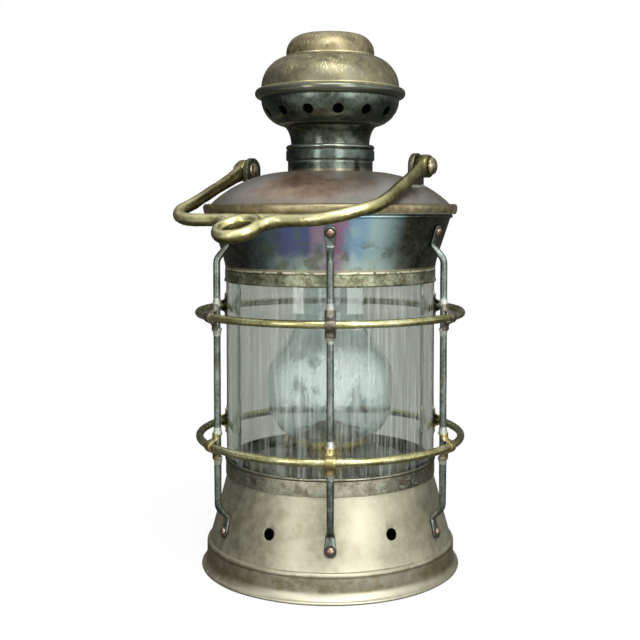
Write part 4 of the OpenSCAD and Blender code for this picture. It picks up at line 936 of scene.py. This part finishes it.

# Bail: the carrying handle, a rough brass casting. Its arms swell into knuckles at the pivots, and a thick
# hanging eye runs out of its crossbar with broad fillets. Wear has polished its upper side, which is also
# painted pale as a highlight, and its underside is painted darker, partly patina and partly shade.
arm_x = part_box("bail")[1].x - 5 * mm
bar_d = 9.5 * mm
bail_reach = 114.4 * mm
left_bend = 28 * mm
right_bend = 48 * mm
knuckle_r = 8.9 * mm
knuckle_wide = 9.8 * mm
pin_play = 0.15 * mm
eye_x = -6 * mm
eye_r = 15 * mm
eye_wire_r = 4.1 * mm
eye_stretch = 1.26
eye_reach = 129.95 * mm
bail_tilt = 22
sprung = 2 * mm
sprung_from = 100 * mm
sprung_over = 26 * mm
arm_thick = 9.3 * mm
swell = ((0, 16, 9.9), (4, 15, 9.8), (9, 13.2, 9.6), (16, 11.4, 9.4), (26, 10.2, 9.3), (38, 9.6, 9.3))
stations = [(-arm_x, d * mm, 0, tall * mm, thick * mm) for d, tall, thick in swell]
stations += [(-arm_x, d * mm, 0, bar_d, arm_thick) for d in range(48, int((bail_reach - left_bend) / mm), 9)]
stations += [(x, d, lean, bar_d, bar_d) for (x, d), lean in zip(
    arc((-arm_x + left_bend, bail_reach - left_bend), left_bend, 180, 90, 9), range(0, 91, 10))]
crossbar = (-arm_x + left_bend, arm_x - right_bend)
stations += [(crossbar[0] + (crossbar[1] - crossbar[0]) * i / 12, bail_reach, 90, bar_d, bar_d)
             for i in range(1, 12)]
stations += [(x, d, lean, bar_d, bar_d) for (x, d), lean in zip(
    arc((arm_x - right_bend, bail_reach - right_bend), right_bend, 90, 0, 15), range(90, 181, 6))]
stations += [(arm_x, d * mm, 180, tall * mm, thick * mm) for d, tall, thick in reversed(swell)]
bail = forged_bar("cast_bail", stations, 24)
eye = started(bpy.ops.mesh.primitive_torus_add, "eye", major_segments=64, minor_segments=20,
              major_radius=eye_r, minor_radius=eye_wire_r, location=(eye_x, 0, eye_reach),
              rotation=(pi / 2, 0, 0))
open_up()
bpy.ops.transform.resize(value=(1, eye_stretch, 1), center_override=(eye_x, 0, eye_reach))
bpy.ops.object.mode_set(mode="OBJECT")
fillet_path = ((34, 114.4, -90), (25, 116, -72), (18, 120.5, -40), (15.5, 127, -12))
fillets = [forged_bar("fillet", [
    (eye_x + hand * x * mm, d * mm, hand * lean, 9.4 * mm, 8.4 * mm) for x, d, lean in fillet_path], 16)
    for hand in (-1, 1)]
knuckles = [disc_across("knuckle", knuckle_r, knuckle_wide, hand * arm_x) for hand in (-1, 1)]
for knuckle in knuckles:
    break_edges(knuckle, 2 * mm, 3)
joined(bail, eye, *fillets, *knuckles)
for part in (bail.data.polygons, bail.data.edges):
    part.foreach_set("select", [False] * len(part))
for vertex in bail.data.vertices:
    vertex.select = vertex.co.z > sprung_from
bpy.ops.object.mode_set(mode="EDIT")
bpy.ops.transform.translate(value=(0, sprung, -sprung / 2), use_proportional_edit=True,
                            proportional_edit_falloff="SMOOTH", proportional_size=sprung_over)
bpy.ops.object.mode_set(mode="OBJECT")
run_modifier(bail, "REMESH", mode="VOXEL", voxel_size=0.8 * mm)
run_modifier(bail, "SMOOTH", factor=0.5, iterations=8)
wave(bail, 0.9, 16)
wave(bail, 0.3, 3.2)
for hand in (-1, 1):
    cut_away(bail, disc_across("drill", pin_r + pin_play, 16 * mm, hand * arm_x))
set_down(bail, (radians(90 + bail_tilt), 0, 0), (0, 0, pivot_z))
smooth(bail, 50)
bail_cast = old_metal("bail_cast", "625d38 857f50 a8a276", (0.26, 0.38), metallic=0.95, shift=18.3,
                      relief=0.05, lines=0.05)
lean = radians(bail_tilt)
above_bail = plus(reach(place(), (0, -sin(lean), cos(lean))), -pivot_z * cos(lean))
coat(patches(26, 0.5, 0.7, 3, shift=1.5), "655c38", 0.5)
# Painted shade, partly patina: the underside is painted darker.
coat(between(above_bail, 0.5 * mm, -3 * mm), "4b4529", 0.6)
# Painted highlight: the upper side is painted pale over part of the bail's reach.
highlit_span = between(reach(place(), (0, 1, 0)), -45 * mm, -95 * mm)
coat(times(between(above_bail, 1.6 * mm, 4.6 * mm), highlit_span), "ddd6a2", 0.82, 0.3)
coat(patches(1.8, 0.63, 0.71, 4, shift=0.5), "4a4329", 0.45, 0.55)
dress(bail, bail_cast, "bail", "gold_brass", "bail")

# Oil font: a flat brass tank with its filler and burner, lifted out from below by a twist of its grip.
# Its sheet is dull and oily, and its turned burner is brighter.
tank_brass = old_metal("tank_brass", "4c4a3c 6b6752 8a8468", (0.32, 0.5), cloud=26, shift=19.1)
coat(patches(16, 0.5, 0.66, 5, shift=0.4), "3a392f", 0.6, 0.28)
burner_brass = old_metal("burner_brass", "7a6a34 a8944c cbb770", (0.24, 0.4), metallic=0.92, cloud=14,
                         shift=20.2)
coat(patches(5, 0.56, 0.68, 4), "5b4a2a", 0.7, 0.5)
burner_soot = old_metal("burner_soot", "4d4838 7d765f a9a287", (0.4, 0.65), cloud=10, shift=21.4)
winder_brass = old_metal("winder_brass", "6d6136 94854d b7a76a", (0.26, 0.42), metallic=0.9, cloud=8,
                         shift=22.6)
paint(tank_brass, "oil_tank", "bottom_plate")
paint(dull_brass, "twist_grip", "filler_neck")
paint(burner_brass, "burner_collar", "burner_body", "chimney_gallery", "filler_cap")
paint(burner_soot, "burner_dome", "wick_tube")
paint(winder_brass, "wick_spindle", "wick_knob")

# Wick: a flat plait of cotton in the burner's tube, which carries the oil up.
# Its top is charred where it burned.
wick_cotton = old_metal("wick_cotton", "b5a88a cfc4a8 e0d8c2", (0.8, 0.95), metallic=0.0, cloud=6,
                        shift=23.5, lines=0.0)
wick_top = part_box("wick")[1].z
coat(belt(wick_top - 5 * mm, wick_top + 8 * mm, 4, 4), "16120e", 0.95, 0.95)
paint(wick_cotton, "wick")

# Chimney: a thin glass, blown into a bulge, that draws the flame up.
# It stands in the burner's gallery, between the prongs.
chimney_foot, chimney_top, bulge_r = extent("glass_chimney")
chimney_r = 28.9 * mm
tube_r = 27.5 * mm
chimney_wall = 2 * mm
bulge_foot = chimney_foot + 5.5 * mm
wide_z = chimney_foot + 38 * mm
neck_z = wide_z + 12 * mm
shoulder = 50 * mm


def blown_outline(inset):
    """The chimney's outline from its foot to its head, at a distance inside its outer face."""
    bulge = arc((chimney_r - inset, wide_z), (bulge_r - chimney_r, wide_z - bulge_foot), -90, 0, 16)
    shoulders = [(tube_r - inset + (bulge_r - tube_r) * (1 + cos(pi * i / 24)) / 2,
                  neck_z + shoulder * i / 24) for i in range(25)]
    return [(chimney_r - inset, chimney_foot), *bulge, *shoulders, (tube_r - inset, chimney_top)]


chimney = spun("blown_chimney", blown_outline(0) + blown_outline(chimney_wall)[::-1], turns=128)
smooth(chimney, 40)
# Painted reflection: a pale patch is painted on the front of its bulge.
chimney_glass = lamp_glass("chimney_glass", clear="ebf4f6", film="f2fafe", amount=0.4, streak=7,
                           glint_band=(144 * mm, 166 * mm, 14, 1.1))
dress(chimney, chimney_glass, "oil_font", "clear_glass", "glass_chimney")

# Stage: a pale floor and a plain white surround. What the camera sees of them is white, and metal and glass
# see a grey room that is lit from the front and falls off into the dark at both sides behind.
camera_side = 30
forwards = (sin(radians(camera_side)), -cos(radians(camera_side)), 0)
rightwards = (cos(radians(camera_side)), sin(radians(camera_side)), 0)
past_glass = rgb("babbb6")
floor = started(bpy.ops.mesh.primitive_plane_add, "floor", size=8)
floor.location.z = -0.2 * mm
pale = new_finish("pale_floor")[0]
rays = add("LightPath").outputs
shade = blend(between(reach(place(), forwards), 60 * mm, 420 * mm), rgb("55554f"), rgb("dddcd6"))
table = add("Emission", {"Color": blend(rays["Is Transmission Ray"], shade, past_glass)})
card = add("BsdfDiffuse", {"Color": rgb("f4f4f2")})
glow = add("Emission", {"Color": (1, 1, 1, 1)})
distance = add("VectorMath", {0: place()}, operation="LENGTH").outputs["Value"]
top = layer(ranged(distance, 120 * mm, 650 * mm, 0.9, 1.0, "SMOOTHSTEP"), card, glow)
lit = layer(rays["Is Camera Ray"], table, top)
tree.links.new(lit.outputs[0], tree.nodes["Material Output"].inputs["Surface"])
floor.data.materials.append(pale)

world = bpy.data.worlds.new("studio")
bpy.context.scene.world = world
world.use_nodes = True
tree = world.node_tree
white = tree.nodes["Background"]
white.inputs["Color"].default_value = (1, 1, 1, 1)
outlook = add("TexCoord").outputs["Generated"]
walls = add("ValToRGB", {"Fac": times(plus(reach(outlook, forwards), 1), 0.5)})
ramp = walls.color_ramp
ramp.interpolation = "EASE"
levels = ((0.0, 0.07), (0.28, 0.16), (0.5, 0.52), (0.65, 0.9), (0.8, 1.15), (0.92, 1.3), (1.0, 1.2))
for position, level in levels[1:-1]:
    ramp.elements.new(position)
for element, (position, level) in zip(ramp.elements, levels):
    element.color = (level * 0.97, level, level * 0.99, 1)
window = plus(times(reach(outlook, rightwards), 0.7), 1)
lit_walls = add("VectorMath", {0: walls.outputs[0], 1: window}, operation="MULTIPLY").outputs["Vector"]
inside = blend(between(reach(outlook, (0, 0, 1)), 0.35, 0.95), lit_walls, (1.0, 1.01, 1.01, 1))
rays = add("LightPath").outputs
room = add("Background", {"Color": blend(rays["Is Transmission Ray"], inside, past_glass)})
sky = layer(rays["Is Camera Ray"], room, white)
tree.links.new(sky.outputs[0], tree.nodes["World Output"].inputs["Surface"])

for name, turn, away, height, width, tall, power in (
        ("key_lamp", 26, 1.5, 0.6, 0.5, 1.2, 8), ("fill_lamp", -34, 1.7, 0.6, 0.35, 1.2, 6),
        ("top_lamp", 10, 0.9, 1.5, 1.0, 0.6, 15)):
    azimuth = radians(camera_side + turn)
    bpy.ops.object.light_add(type="AREA", location=(away * sin(azimuth), -away * cos(azimuth), height))
    lamp = bpy.context.object
    lamp.name = name
    lamp.data.shape = "RECTANGLE"
    lamp.data.size = width
    lamp.data.size_y = tall
    lamp.data.energy = power
    aim = Vector((0, 0, 0.22)) - lamp.location
    lamp.rotation_euler = aim.to_track_quat("-Z", "Y").to_euler()

# Camera: at the height of the hood, a little to the right of the bail, and tipped slightly down.
# Its shift sets the lantern's place in the picture.
camera_away = 840 * mm
camera_height = 283 * mm
camera_pitch = 3.1
bpy.ops.object.camera_add(
    location=(camera_away * forwards[0], camera_away * forwards[1], camera_height),
    rotation=(radians(90 - camera_pitch), 0, radians(camera_side)))
camera = bpy.context.object
camera.data.lens = 59
camera.data.sensor_width = 36
camera.data.shift_x = -0.016
camera.data.shift_y = -0.0815
bpy.context.scene.camera = camera
bpy.context.scene.view_settings.view_transform = "Standard"
